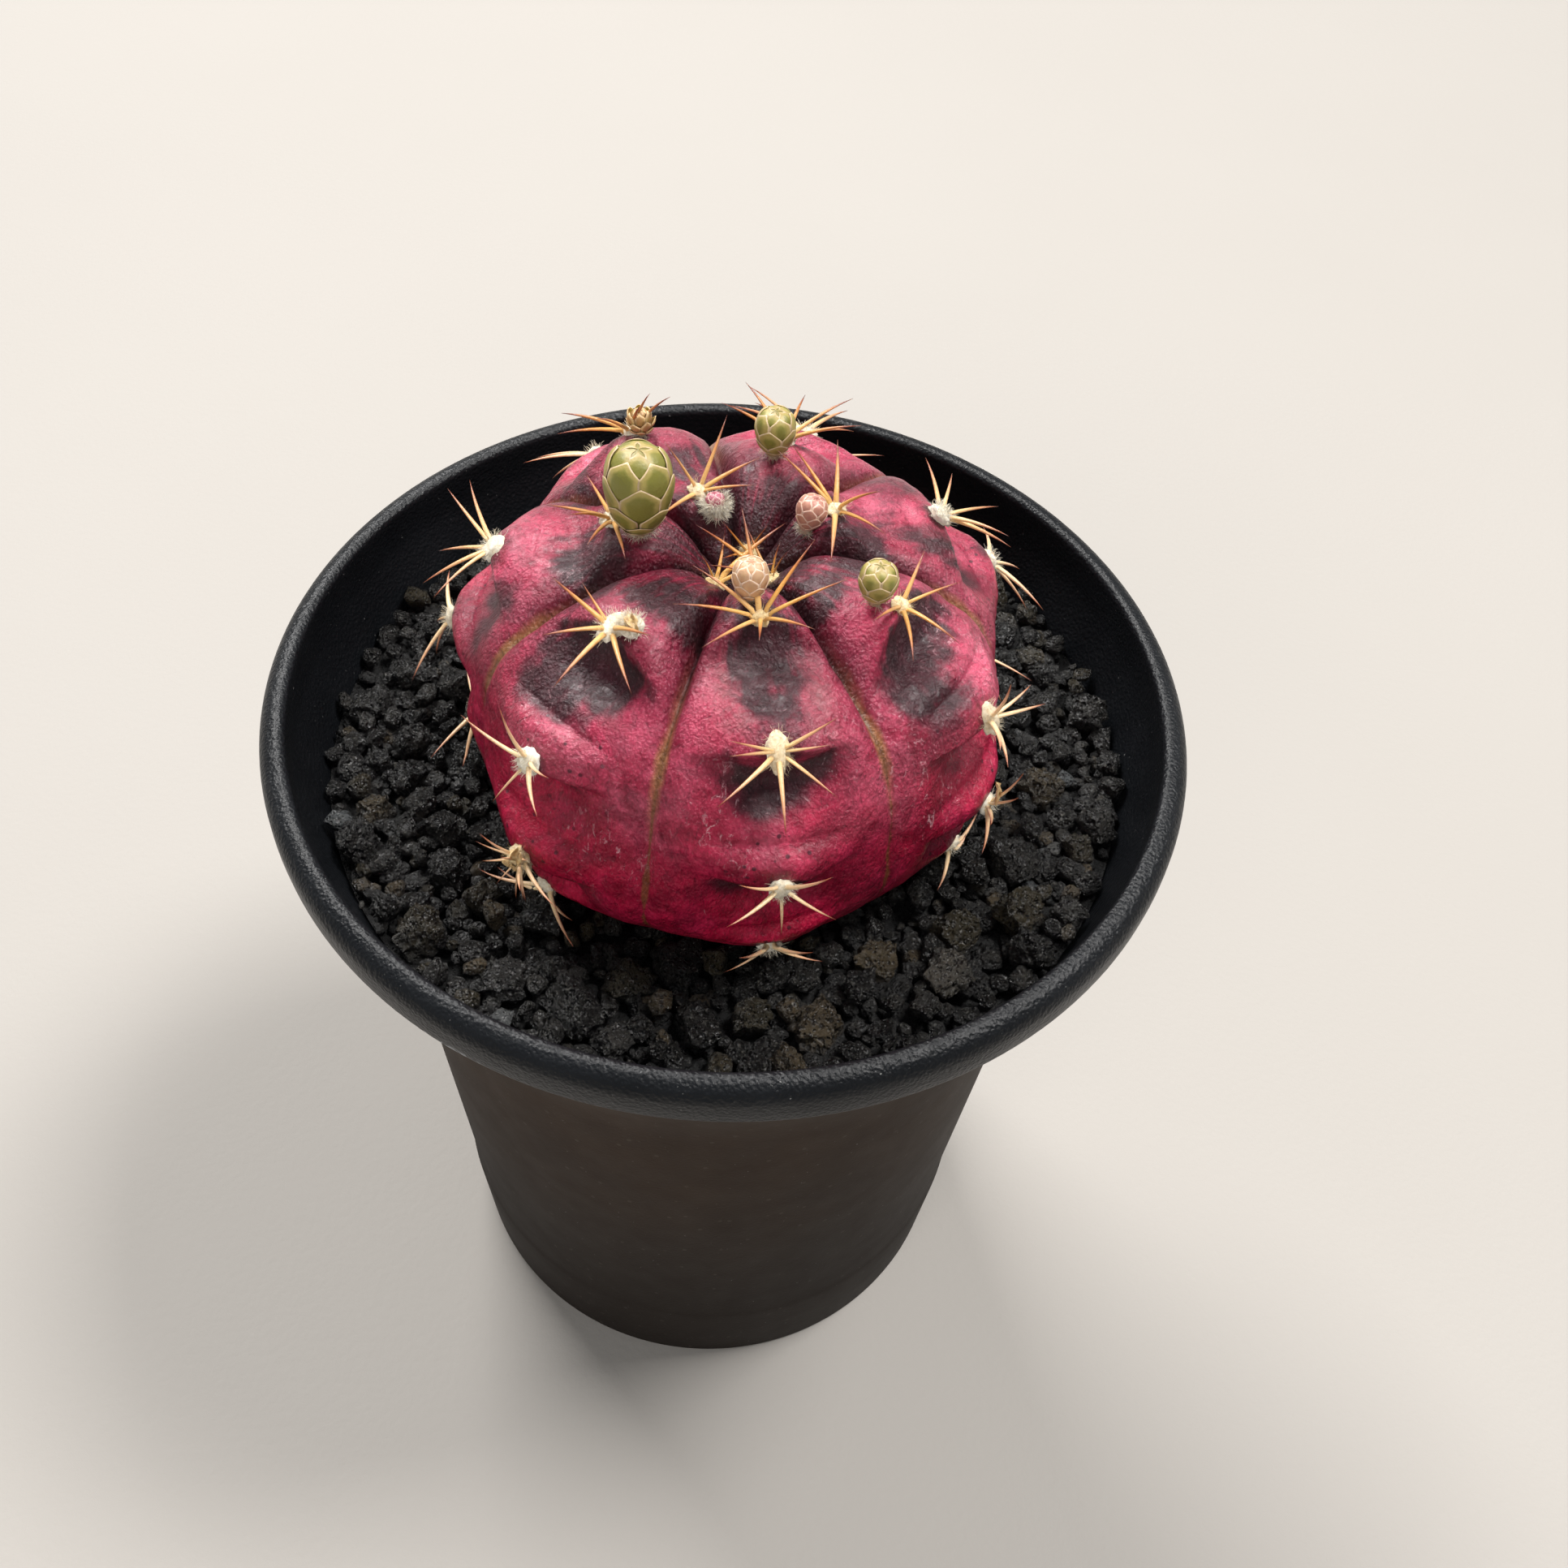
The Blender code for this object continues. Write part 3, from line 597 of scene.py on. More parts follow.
skinTones = {
    "flesh": ((0.335, 0.006, 0.043), (0.65, 0.032, 0.112)),
    "deep": ((0.28, 0.0018, 0.022), (0.58, 0.006, 0.053)),
    "shade": ((0.010, 0.0024, 0.004), (0.050, 0.010, 0.016)),
    "wine": (0.165, 0.0035, 0.020),
    "pale": (0.74, 0.160, 0.250),
    "dusty": (0.21, 0.090, 0.088),
    "furrowShade": (0.080, 0.003, 0.013),
    "stainAndShade": (0.120, 0.005, 0.020),
    "furrowSide": (0.38, 0.20, 0.065),
    "furrowLine": (0.17, 0.075, 0.020),
    "dots": (0.03, 0.003, 0.010),
    "poreShade": (0.060, 0.002, 0.009),
    "crease": (0.070, 0.002, 0.011),
    "grainGlint": (0.80, 0.30, 0.40),
    "scratch": (0.78, 0.46, 0.50),
}


def skinMaterial():
    kit = NodeKit("cactusSkin", 0.4, 0.42, skinTones)
    broad = kit.noise(150.0, 5.0, 0.6)
    blotch = kit.noise(430.0, 6.0, 0.64, 0.5)
    grown = kit.attribute("grown")
    kit.colour = kit.mix(kit.times(grown, kit.spread(broad, 0.2, 0.6)),
                         kit.between(blotch, 0.32, 0.7, "flesh"), kit.between(blotch, 0.35, 0.7, "deep"))
    kit.tint("wine", kit.spread(kit.noise(120.0, 5.0, 0.62, 0.8), 0.45, 0.62), 0.65)
    # painted highlight: the pale tint stands for light on the chin tops above the areoles and on lit flanks
    # and rear tops, partly a paler pink skin
    kit.tint("pale", kit.attribute("pale"), kit.spread(blotch, 0.25, 0.75))
    kit.tint("dusty", kit.attribute("dusty"), kit.spread(blotch, 0.3, 0.62), 0.75)
    # painted shade down in the furrows, deepest near the crown
    kit.tint("furrowShade", kit.attribute("furrowShade"), 0.85)
    # the near-black patches, partly pigment and partly painted shade under the chins and in folds and the
    # crown's hollow, with a wine red stain round their ragged edges that also softens the painted shade
    ragged = kit.math("ADD", kit.attribute("dark"), kit.linear(blotch, 1.0, -0.5))
    ragged = kit.math("ADD", ragged, kit.linear(broad, 0.7, -0.35))
    kit.tint("stainAndShade", kit.spread(ragged, 0.04, 0.50), 0.88)
    dark = kit.spread(ragged, 0.30, 0.76)
    kit.colour = kit.mix(kit.times(dark, 0.96), kit.colour, kit.between(blotch, 0.30, 0.72, "shade"))
    # furrow lines and dots
    wobble = kit.linear(kit.noise(260.0, 3.0), 0.0011, -0.00052)
    line = kit.math("ADD", kit.attribute("furrow"), wobble)
    kit.tint("furrowSide", kit.spread(line, 0.0008, 0.0002), kit.attribute("olive"), 0.75)
    kit.tint("furrowLine", kit.spread(line, 0.00034, 0.0001), kit.attribute("lineTone"), 0.7)
    kit.tint("dots", kit.spread(kit.voronoi(780.0), 0.19, 0.12), kit.attribute("dotted"), 0.85)
    # fine grain and wrinkles, with painted shade in the grain's pits and the wrinkles' creases and painted
    # glints on the grain's tips
    papillae = kit.voronoi(3900.0, "SMOOTH_F1", kit.scaled((1.0, 1.0, 0.66)))
    grain = kit.math("ADD", kit.times(papillae, -1.0), kit.times(kit.noise(3000.0, 4.0, 0.62, 1.6), 0.7))
    kit.tint("poreShade", kit.linear(kit.spread(grain, -0.45, 0.20), -0.28, 0.28))
    wrinkles = kit.noise(1100.0, 5.0, 0.62, 0.8, kit.scaled((1.0, 1.0, 0.55)))
    # painted shade in the wrinkles' creases
    kit.tint("crease", kit.spread(wrinkles, 0.46, 0.34), 0.40)
    kit.tint("grainGlint", kit.spread(grain, 0.02, 0.24), kit.linear(dark, -0.4, 1.0),
             kit.linear(grown, -0.09, 0.12))
    worn = kit.noise(900.0, 6.0, 0.78, 1.8, kit.scaled((1.0, 1.0, 0.5)))
    scratch = kit.math("MAXIMUM", kit.times(kit.spread(worn, 0.565, 0.64), kit.attribute("scuff")),
                       kit.times(kit.spread(worn, 0.67, 0.73), 0.8))
    kit.tint("scratch", scratch, 0.6)
    rough = kit.linear(kit.noise(700.0, 4.0), 0.26, 0.19)
    patchy = kit.times(grain, kit.linear(kit.spread(broad, 0.35, 0.65), 0.5, 0.5),
                       kit.linear(grown, -0.8, 1.8))
    soft = kit.bump(wrinkles, 0.0006, 0.8)
    return kit.finish(Base_Color=kit.colour, Roughness=kit.linear(dark, 0.10, rough),
                      Normal=kit.bump(patchy, 0.00014, 1.0, soft),
                      Coat_Normal=kit.bump(wrinkles, 0.0004, 0.5), Coat_Weight=0.27, Coat_Roughness=0.25)


def shadeUnder(rib, station, along, across):
    # the dark field under an areole, partly the skin's own near-black pigment and partly painted shade under
    # the chin's overhang, sharp along the chin and down to the crease
    arch = along + archBend(station) * across**2
    top = smoothStep((arch - 0.2 * mm) / (0.8 * mm))
    if station < 25:
        wide, tall, strength = 3.0 * mm, 6.0 * mm, 0.60 if rib == 0 else 0.4
    elif station < 60:
        wide, tall, strength = 5.6 * mm, (creaseDistance(rib, station) or 7 * mm) * 0.62, 1.0
    elif station < 75:
        wide, tall, strength = 4.4 * mm, 2.2 * mm, 0.85
    else:
        wide, tall, strength = 6.0 * mm, 3.2 * mm, 1.05 if station < 100 else 0.5
    narrowing = wide * (1 - 0.48 * smoothStep(arch / (tall * 1.3)))
    bottom = 1 - smoothStep((arch - tall * 0.7) / (tall * 0.6 + 1.0 * mm))
    return top * bottom * bell(across, narrowing, 2.6), strength


def spotField(points, spots):
    total = np.zeros(len(points))
    for place, size, strength in spots:
        total = np.maximum(total, strength * np.minimum(skinSpot(points, place, size) * 1.6, 1.0))
    return total


# strength in mm and scale of the skin's waves, and of the warp that makes its patches ragged
skinWaves = ((0.24, 140), (0.16, 360), (0.065, 900))
skinWarp = ((1.5, 190), (0.7, 520))
warpSeed = 1795842432  # the noise module seeds its vectors by the clock unless told


def makeSkin():
    builder = bmesh.new()
    bmesh.ops.create_uvsphere(builder, u_segments=body["ribs"] * body["stepsPerRib"],
                              v_segments=body["rows"], radius=1.0)
    mesh = meshOf("skinStart", builder)
    count = len(mesh.vertices)
    unit = np.empty(count * 3)
    mesh.vertices.foreach_get("co", unit)
    unit = unit.reshape(-1, 3)
    row = np.arccos(np.clip(unit[:, 2], -1, 1)) / math.pi * body["rows"]
    turn = np.arctan2(unit[:, 1], unit[:, 0])
    openRows = body["rows"] - body["buriedRows"]
    polar = np.interp(row, (0, openRows, body["rows"]), (0, body["buriedFrom"], math.pi))
    points, normal = skinPoint(turn, polar)
    fade = np.clip((math.radians(120) - polar) / 0.2, 0.0, 1.0)
    waves = np.array([sum(strength * noise.noise(Vector(p) * scale) for strength, scale in skinWaves)
                      for p in points])
    points = points + normal * (waves * mm * fade)[:, None]
    dark, litLedgeTops, dotted = np.zeros((3, count))
    noise.seed_set(warpSeed)
    warped = points + np.array([
        sum((strength * mm * noise.noise_vector(Vector(p) * scale) for strength, scale in skinWarp), Vector())
        for p in points
    ])
    for rib, station, along, across, near in areoleOffsets(warped):
        under, strength = shadeUnder(rib, station, along, across)
        ring = 0.6 * bell(np.hypot(along, across), 1.7 * mm)
        dark = np.maximum(dark, np.where(near, np.maximum(strength * under, ring), 0.0))
        # painted highlight on the lit top of each chin, above its areole
        above = bell(along + 2.6 * mm, 2.2 * mm) * bell(across, 4.4 * mm)
        litLedgeTops = np.maximum(litLedgeTops, np.where(near, (0.7 if station < 80 else 0.35) * above, 0.0))
        beside = bell(along + 2.2 * mm, 2.4 * mm, 4) * bell(across, 7 * mm, 4)
        dotted = np.maximum(dotted, np.where(near & (station > 60), beside, 0))
    # painted shade in the crown's deep hollow, darkest at its centre, joined with the dark field
    crown = 0.9 * np.exp(-((polar / math.radians(13)) ** 2))
    streaks = np.array([
        noise.noise(Vector((t * 22, p * 6.0, 3.0))) + 0.5 * noise.noise(Vector((t * 55, p * 11.0, 9.0)))
        for t, p in zip(turn, polar)
    ])
    spots = {name: spotField(warped, places) for name, places in skinSpots.items()}
    dark = np.maximum(np.maximum(dark, crown), spots["dark"])
    dark += 0.42 * streaks * np.clip(dark * 2, 0, 1) * np.clip((math.radians(62) - polar) / 0.3, 0.15, 1.0)
    mesh.vertices.foreach_set("co", points.astype(np.float32).ravel())
    # painted shade towards the furrows, stronger near the crown where they are deep
    topness = np.clip((math.radians(58) - polar) / math.radians(26), 0.0, 1.0)
    furrowShade = furrowShare(turn) ** 3 * (0.30 + 0.90 * topness) * np.clip(polar / 0.2, 0.4, 1.0)
    fields = {
        "dark": dark,
        # pale: painted highlight on the lit chin tops and pale spots, partly a paler pink skin
        "pale": np.maximum(spots["pale"], litLedgeTops * (polar < 1.4)),
        "dusty": spots["dusty"],
        "furrow": furrowDistance(turn, polar),
        "grown": np.clip((polar - math.radians(45)) / math.radians(45), 0.0, 1.0),
        "furrowShade": np.clip(furrowShade, 0, 1),
        "olive": bell(polar - math.radians(54), math.radians(17)),
        "lineTone": np.clip((polar - math.radians(38)) / math.radians(10), 0, 1),
        "dotted": dotted,
        "scuff": spots["scuff"],
    }
    for name, values in fields.items():
        field = mesh.attributes.new(name, "FLOAT", "POINT")
        field.data.foreach_set("value", values.astype(np.float32))
    builder = bmesh.new()
    builder.from_mesh(mesh)
    faceOut(builder)
    addPiece("cactusSkin", builder, skinMaterial(), "cactus_skin", "cactus_body")


makeSkin()
print("skin made")


# spines and wool

# each visible areole's spines: clock angle from straight down, lift off the skin and length in mm
spineSets = {
    (0, 19): ((-127, 30, 7.0), (-92, 26, 7.8), (-50, 25, 7.5), (-11, 43, 7.0), (39, 39, 6.7), (95, 28, 8.3),
              (134, 31, 7.9), (-176, 34, 9.2)),
    (0, 50): ((-106, 44, 5.9), (-95, 46, 5.8), (117, 35, 6.0), (92, 40, 4.7), (-54, 29, 7.4), (48, 33, 6.4),
              (-4, 30, 7.1)),
    (0, 85): ((-140, 32, 7.1), (144, 35, 7.0), (-87, 40, 6.2), (60, 26, 5.6), (3, 19, 5.1)),
    (0, 112): ((-150, 19, 7.0), (155, 21, 7.0), (-100, 30, 5.0), (100, 30, 5.0)),
    (1, 31): ((107, 25, 5.5), (59, 27, 5.7), (-21, 33, 6.9), (-59, 24, 7.5), (-102, 33, 7.1)),
    (1, 68): ((-162, 41, 7.4), (85, 20, 5.7), (68, 26, 6.6), (-92, 43, 7.4), (-107, 40, 7.3)),
    (1, 92): ((-176, 26, 7.1), (-157, 31, 7.3), (-125, 22, 7.0), (-101, 24, 7.0)),
    (1, 113): ((59, 22, 7.1), (27, 33, 7.3), (-60, 30, 6.0)),
    (2, 15): ((122, 30, 7.3), (107, 30, 7.2), (64, 28, 6.8), (-59, 51, 6.9), (-74, 24, 7.4), (-115, 13, 8.0)),
    (2, 45): ((90, 23, 6.5), (61, 23, 6.6), (-74, 34, 7.2), (-60, 26, 7.3), (8, 28, 7.0)),
    (2, 74): ((70, 23, 7.1), (48, 22, 7.1), (18, 36, 7.4), (-21, 23, 7.2), (-62, 27, 7.0)),
    (3, 50): ((83, 31, 7.2), (64, 21, 7.0), (-25, 33, 7.3), (-33, 18, 7.0), (98, 12, 7.5), (52, 10, 7.1)),
    (4, 11): ((20, 34, 5.3), (-52, 30, 7.3), (-94, 30, 6.4), (-133, 39, 5.7), (110, 26, 7.4)),
    (4, 38): ((87, 22, 7.4), (128, 32, 7.3), (-178, 39, 7.5), (-163, 32, 7.2), (169, 33, 7.3), (40, 28, 7.0)),
    (4, 69): ((38, 39, 7.2), (18, 22, 7.3), (-30, 25, 7.0), (75, 28, 7.0)),
    (5, 20): ((-57, 22, 5.4), (66, 47, 7.2), (83, 29, 7.2), (110, 18, 7.6), (8, 30, 6.0)),
    (5, 51): ((-65, 37, 8.1), (-80, 33, 7.5), (-17, 22, 6.4), (60, 24, 7.5), (28, 26, 7.0)),
    (5, 80): ((-82, 17, 7.0), (-36, 20, 7.0), (-10, 16, 6.9), (44, 26, 7.0)),
    (6, 31): ((-87, 29, 6.5), (-106, 27, 4.5), (-28, 36, 6.0), (11, 24, 7.8), (58, 19, 7.9), (96, 39, 6.9)),
    (6, 69): ((-104, 30, 6.8), (-164, 39, 6.9), (-16, 23, 5.1), (84, 42, 6.9), (121, 37, 7.1)),
    (6, 94): ((-168, 33, 6.0), (165, 36, 6.0), (97, 21, 7.0), (122, 39, 6.5), (-60, 30, 4.5), (20, 24, 4.5),
              (60, 40, 4.0), (-110, 35, 4.2), (-20, 45, 3.8), (140, 20, 4.4), (0, 20, 5.4)),
}
usualClocks = (0, 50, -50, 95, -95)
youngAreoles = (
    ((51.4, 4), ((-176, 60, 8.2), (-140, 50, 5.6), (128, 58, 5.2), (10, 42, 3.6), (60, 50, 3.4))),
    ((154.3, 3), ((150, 66, 5.0), (-160, 70, 6.0), (60, 62, 4.6), (-40, 56, 4.2))),
    ((308.6, 4), ((172, 58, 8.6), (140, 46, 6.0), (-130, 56, 5.0), (-20, 44, 3.6))),
)
spineLook = {
    "radius": 0.225 * mm,
    "sides": 7,
    "steps": 7,
    "root": 0.7 * mm,
    "bend": math.radians(13),
    "flatness": 0.72,
    "lowest": 86.2 * mm,
    "seed": 31,
}


spineTones = {
    "golden": ((0.0, (0.70, 0.45, 0.16)), (0.3, (0.60, 0.31, 0.075)), (0.6, (0.46, 0.18, 0.04)),
               (0.82, (0.19, 0.040, 0.016)), (1.0, (0.07, 0.012, 0.010))),
    "straw": ((0.0, (0.80, 0.66, 0.40)), (0.4, (0.76, 0.54, 0.33)), (0.7, (0.62, 0.36, 0.22)),
              (0.92, (0.27, 0.085, 0.045)), (1.0, (0.11, 0.025, 0.018))),
    "streak": (0.45, 0.17, 0.045),
}
woolTones = {
    "pale": ((0.80, 0.71, 0.52), (0.93, 0.90, 0.80)),
    "warm": ((0.60, 0.36, 0.10), (0.86, 0.68, 0.36)),
}


def spineMaterial():
    kit = NodeKit("spine", 0.36, 0.5, spineTones)
    shifted = kit.math("ADD", kit.attribute("along"), kit.linear(kit.noise(1500.0, 5.0, 0.65), 0.30, -0.15))
    kit.colour = kit.mix(kit.attribute("tone"), kit.ramp(shifted, spineTones["straw"]),
                         kit.ramp(shifted, spineTones["golden"]))
    kit.tint("streak", kit.spread(kit.noise(5200.0, 3.0), 0.52, 0.7), 0.4)
    return kit.finish(Base_Color=kit.colour, Normal=kit.bump(kit.noise(4200.0, 3.0), 0.00008, 0.5),
                      Subsurface_Weight=0.25, Subsurface_Radius=(1.0, 0.6, 0.3), Subsurface_Scale=0.0004)


def woolMaterial():
    kit = NodeKit("wool", 0.85, 0.25, woolTones)
    fluff = kit.noise(2600.0, 5.0, 0.7)
    pale, warm = (kit.between(fluff, 0.3, 0.7, tone) for tone in ("pale", "warm"))
    return kit.finish(Base_Color=kit.mix(kit.attribute("tone"), pale, warm),
                      Normal=kit.bump(fluff, 0.0003, 0.8), Sheen_Weight=0.35, Sheen_Roughness=0.5)


def addSpine(builder, layers, place, clock, lift, length, tone, draw):
    angle = math.radians(clock)
    heading = Vector((-math.sin(angle), math.cos(angle), 0))
    sway = heading.cross(Vector((0, 0, 1))) * draw.uniform(-0.05, 0.05)
    path = [place @ (heading * 0.25 * mm - Vector((0, 0, spineLook["root"])))]
    steps = spineLook["steps"]
    for index in range(1, steps + 1):
        share = index / steps
        rise = math.radians(lift) + spineLook["bend"] * (0.55 - share) * 0.8
        point = heading * math.cos(rise) + Vector((0, 0, math.sin(rise))) + sway * share
        spot = place @ (point * length * share * mm)
        spot.z = max(spot.z, spineLook["lowest"] + 0.5 * mm * share)
        path.append(spot)
    thick = spineLook["radius"] * draw.uniform(0.85, 1.12) * min(length / 6.5, 1.05)
    radii = [thick * (1.0, 1.06, 0.96, 0.84, 0.70, 0.52, 0.31, 0.05)[index] for index in range(steps + 1)]
    along = [index / steps for index in range(steps + 1)]
    growTube(builder, path, radii, spineLook["sides"], spineLook["flatness"], layers,
             (along, [tone] * (steps + 1)))


def hairTemplates(seed, count, length, radius, curl):
    # curly three-sided strands standing on the origin, with a tone attribute
    draw = random.Random(seed)
    found = []
    for _ in range(count):
        builder = bmesh.new()
        layer = builder.verts.layers.float.new("tone")
        point = Vector((0, 0, -0.15 * length))
        direction = Vector((draw.uniform(-0.4, 0.4), draw.uniform(-0.4, 0.4), 1)).normalized()
        path = [point.copy()]
        for _ in range(4):
            direction += Vector([draw.uniform(-curl, curl) for _ in range(3)])
            direction.normalize()
            point = point + direction * length / 4
            path.append(point.copy())
        growTube(builder, path, [radius, radius, radius * 0.9, radius * 0.7, radius * 0.3], 3, 1.0,
                 (layer,), ([0.0] * 5,))
        found.append(meshOf("strand", builder))
    return found


def addStrand(builder, strand, place, spot, lean, roll, size, tone):
    turned = lean.to_track_quat("Z", "Y").to_matrix().to_4x4() @ Matrix.Rotation(roll, 4, "Z")
    stamp(builder, strand, place @ Matrix.Translation(spot) @ turned @ Matrix.Scale(size, 4),
          {"tone": min(max(tone, 0.0), 1.0)})


def addWool(builder, layer, strands, place, size, tone, count, draw):
    # a felted pad with loose strands over it
    width, length, height = size
    made = bmesh.ops.create_icosphere(builder, subdivisions=3, radius=1.0)["verts"]
    shift = Vector((draw.uniform(0, 50), draw.uniform(0, 50), 0))
    for vertex in made:
        bumpy = 1 + 0.30 * noise.noise(vertex.co * 2.2 + shift) + 0.16 * noise.noise(vertex.co * 5 + shift)
        local = vertex.co * bumpy
        vertex.co = place @ Vector((local.x * width, local.y * length, local.z * height))
        vertex[layer] = tone + draw.uniform(-0.05, 0.05)
    for _ in range(count):
        angle = draw.uniform(0, turnFull)
        reach = math.sqrt(draw.random())
        spot = Vector((math.cos(angle) * reach * width, math.sin(angle) * reach * length, 0))
        spot.z = height * math.sqrt(max(1 - reach**2, 0.0)) * 0.9
        lean = Vector((spot.x / width, spot.y / length, 0.75 + 0.5 * (1 - reach)))
        roll = draw.uniform(0, turnFull)
        scale = draw.uniform(0.6, 1.15)
        addStrand(builder, draw.choice(strands), place, spot, lean, roll, scale,
                  tone + draw.uniform(-0.25, 0.25))


# wool pads by areole: half width, half length and half height in mm, warmth and strands
woolSets = {
    (0, 50): ((0.95, 1.75, 0.75), 0.55, 130),
    (0, 85): ((1.05, 1.10, 0.65), 0.18, 120),
    (0, 112): ((1.1, 0.8, 0.6), 0.05, 90),
    (1, 68): ((0.95, 1.7, 0.75), 0.45, 120),
    (1, 92): ((0.9, 1.2, 0.65), 0.1, 90),
    (2, 45): ((1.3, 1.1, 0.7), 0.12, 110),
    (2, 74): ((1.0, 1.3, 0.65), 0.1, 90),
    (3, 50): ((1.3, 1.1, 0.7), 0.15, 90),
    (5, 51): ((1.2, 1.3, 0.75), 0.12, 110),
    (6, 31): ((1.0, 1.4, 0.6), 0.2, 110),
    (6, 69): ((1.15, 1.3, 0.75), 0.04, 150),
    (6, 94): ((1.2, 1.5, 0.9), 0.7, 90),
    (0, 19): ((0.8, 0.85, 0.5), 0.9, 60),
    (1, 31): ((0.8, 0.9, 0.5), 0.75, 60),
    (2, 15): ((0.9, 1.0, 0.5), 0.6, 60),
    (4, 11): ((0.9, 1.0, 0.5), 0.6, 60),
}
usualWool = ((0.95, 1.15, 0.6), 0.25, 60)
youngWool = ((0.9, 0.9, 0.55), 0.9, 50)
woolStrands = {"seed": 5, "count": 8, "length": 0.95 * mm, "radius": 0.018 * mm, "curl": 0.55}


# dried flower remains: areole, place beside it and half sizes in mm, warmth, strands
remains = (
    ((6, 31), (-1.5, -1.0, 0.35), (1.15, 1.0, 0.6), 0.0, 330),
    ((6, 31), (-1.5, -1.2, 0.95), (0.62, 0.5, 0.34), 1.0, 24),
    ((6, 94), (-0.3, -1.0, 0.8), (0.8, 0.7, 0.6), 1.0, 30),
    ((2, 45), (0.6, -0.9, 0.5), (1.0, 0.8, 0.6), 0.0, 160),
)
# papery slivers: areole, place beside it in mm, turn in degrees, length and width in mm
slivers = (
    ((6, 31), (-1.3, -1.3, 1.2), 70, 1.5, 0.8),
    ((6, 94), (-0.9, -1.6, 1.3), 165, 2.6, 0.9),
    ((6, 94), (0.5, -0.6, 1.3), 60, 1.5, 0.8),
    ((1, 92), (0.6, -1.4, 0.9), 175, 2.4, 0.7),
)


def paperMaterial():
    kit = NodeKit("driedPaper", 0.6, 0.3, {"paper": ((0.33, 0.18, 0.06), (0.70, 0.52, 0.28))})
    return kit.finish(Base_Color=kit.between(kit.noise(1600.0, 5.0, 0.6), 0.3, 0.7, "paper"),
                      Normal=kit.bump(kit.noise(3000.0, 4.0), 0.0001, 0.7))


def makeSlivers():
    draw = random.Random(44)
    paper = bmesh.new()
    for (rib, station), spot, turn, length, width in slivers:
        place = areoleFrame(rib, station)
        place = place @ Matrix.Translation(Vector(spot) * mm) @ Matrix.Rotation(math.radians(turn), 4, "Z")
        made = bmesh.ops.create_grid(paper, x_segments=5, y_segments=9, size=0.5)["verts"]
        shift = Vector((draw.uniform(0, 30), 0, 0))
        for vertex in made:
            up = vertex.co.y + 0.5
            taper = 1 - 0.75 * up**2
            curl = 1.6 * vertex.co.x**2 - 0.5 * up**2
            crumple = noise.noise(vertex.co * 4 + shift) * 0.35
            local = Vector((vertex.co.x * width * taper, up * length, (curl + crumple) * width))
            vertex.co = place @ (local * mm)
    bmesh.ops.recalc_face_normals(paper, faces=paper.faces)
    bmesh.ops.solidify(paper, geom=paper.faces[:], thickness=0.05 * mm)
    faceOut(paper)
    addPiece("driedSlivers", paper, paperMaterial(), "cactus_skin", "cactus_body")


def makeSpinesAndWool():
    draw = random.Random(spineLook["seed"])
    spines = bmesh.new()
    layers = [spines.verts.layers.float.new(name) for name in ("along", "tone")]
    wool = bmesh.new()
    woolLayer = wool.verts.layers.float.new("tone")
    strands = hairTemplates(**woolStrands)

    def pad(place, settings):
        size, warmth, count = settings
        addWool(wool, woolLayer, strands, place, [value * mm for value in size], warmth, count, draw)

    for rib, station in areolePlaces:
        place = areoleFrame(rib, station)
        found = spineSets.get((rib, station))
        if found is None:
            found = [(clock + draw.uniform(-9, 9), draw.uniform(22, 34), draw.uniform(6.4, 7.8))
                     for clock in usualClocks]
        golden = 1.0 if station < 40 else 0.55 if station < 60 else 0.12
        for clock, lift, length in found:
            addSpine(spines, layers, place, clock, lift, length, golden * draw.uniform(0.75, 1.0), draw)
        pad(place, woolSets.get((rib, station), usualWool))
    for (turn, station), found in youngAreoles:
        place = ribFrame(turn, station)
        for clock, lift, length in found:
            addSpine(spines, layers, place, clock, lift, length, 1.0, draw)
        pad(place, youngWool)
    for (rib, station), spot, *settings in remains:
        pad(areoleFrame(rib, station) @ Matrix.Translation(Vector(spot) * mm), settings)
    faceOut(spines)
    addPiece("spines", spines, spineMaterial(), "cactus_skin", "cactus_body")
    addPiece("areoleWool", wool, woolMaterial(), "cactus_skin", "cactus_body")


makeSpinesAndWool()
makeSlivers()
print("spines and wool made")


# pot

potForm = {
    "steps": 192,
    "height": 93.0 * mm,
    "rimRadius": 45.0 * mm,
    "lipHeight": 5.2 * mm,
    "lipInner": 42.4 * mm,
    "wall": 1.1 * mm,
    "footRadius": 30.9 * mm,
    "footRing": 2.2 * mm,
    "bandHeight": 13.0 * mm,
    "bandStep": 0.3 * mm,
    "bandFade": 1.6 * mm,
    "collarStart": 68.0 * mm,
    "collarRadius": 35.5 * mm,
    "collarTop": 43.2 * mm,
    "collarMiddle": 78.0 * mm,
    "floorLift": 2.0 * mm,
    "floorThick": 1.5 * mm,
    "drainRadius": 3.0 * mm,
    "drainCircle": 18.0 * mm,
    "drains": 6,
}


def potRadius(height):
    start = potForm["collarStart"]
    if height <= start:
        return potForm["footRadius"] + (potForm["collarRadius"] - potForm["footRadius"]) * height / start
    share = (height - start) / (potForm["height"] - potForm["lipHeight"] - start)
    return potForm["collarRadius"] + (potForm["collarTop"] - potForm["collarRadius"]) * share**1.2


def arc(centre, radius, start, end, steps):
    points = []
    for index in range(steps + 1):
        angle = math.radians(start + (end - start) * index / steps)
        points.append((centre[0] + radius * math.cos(angle), centre[1] + radius * math.sin(angle)))
    return points


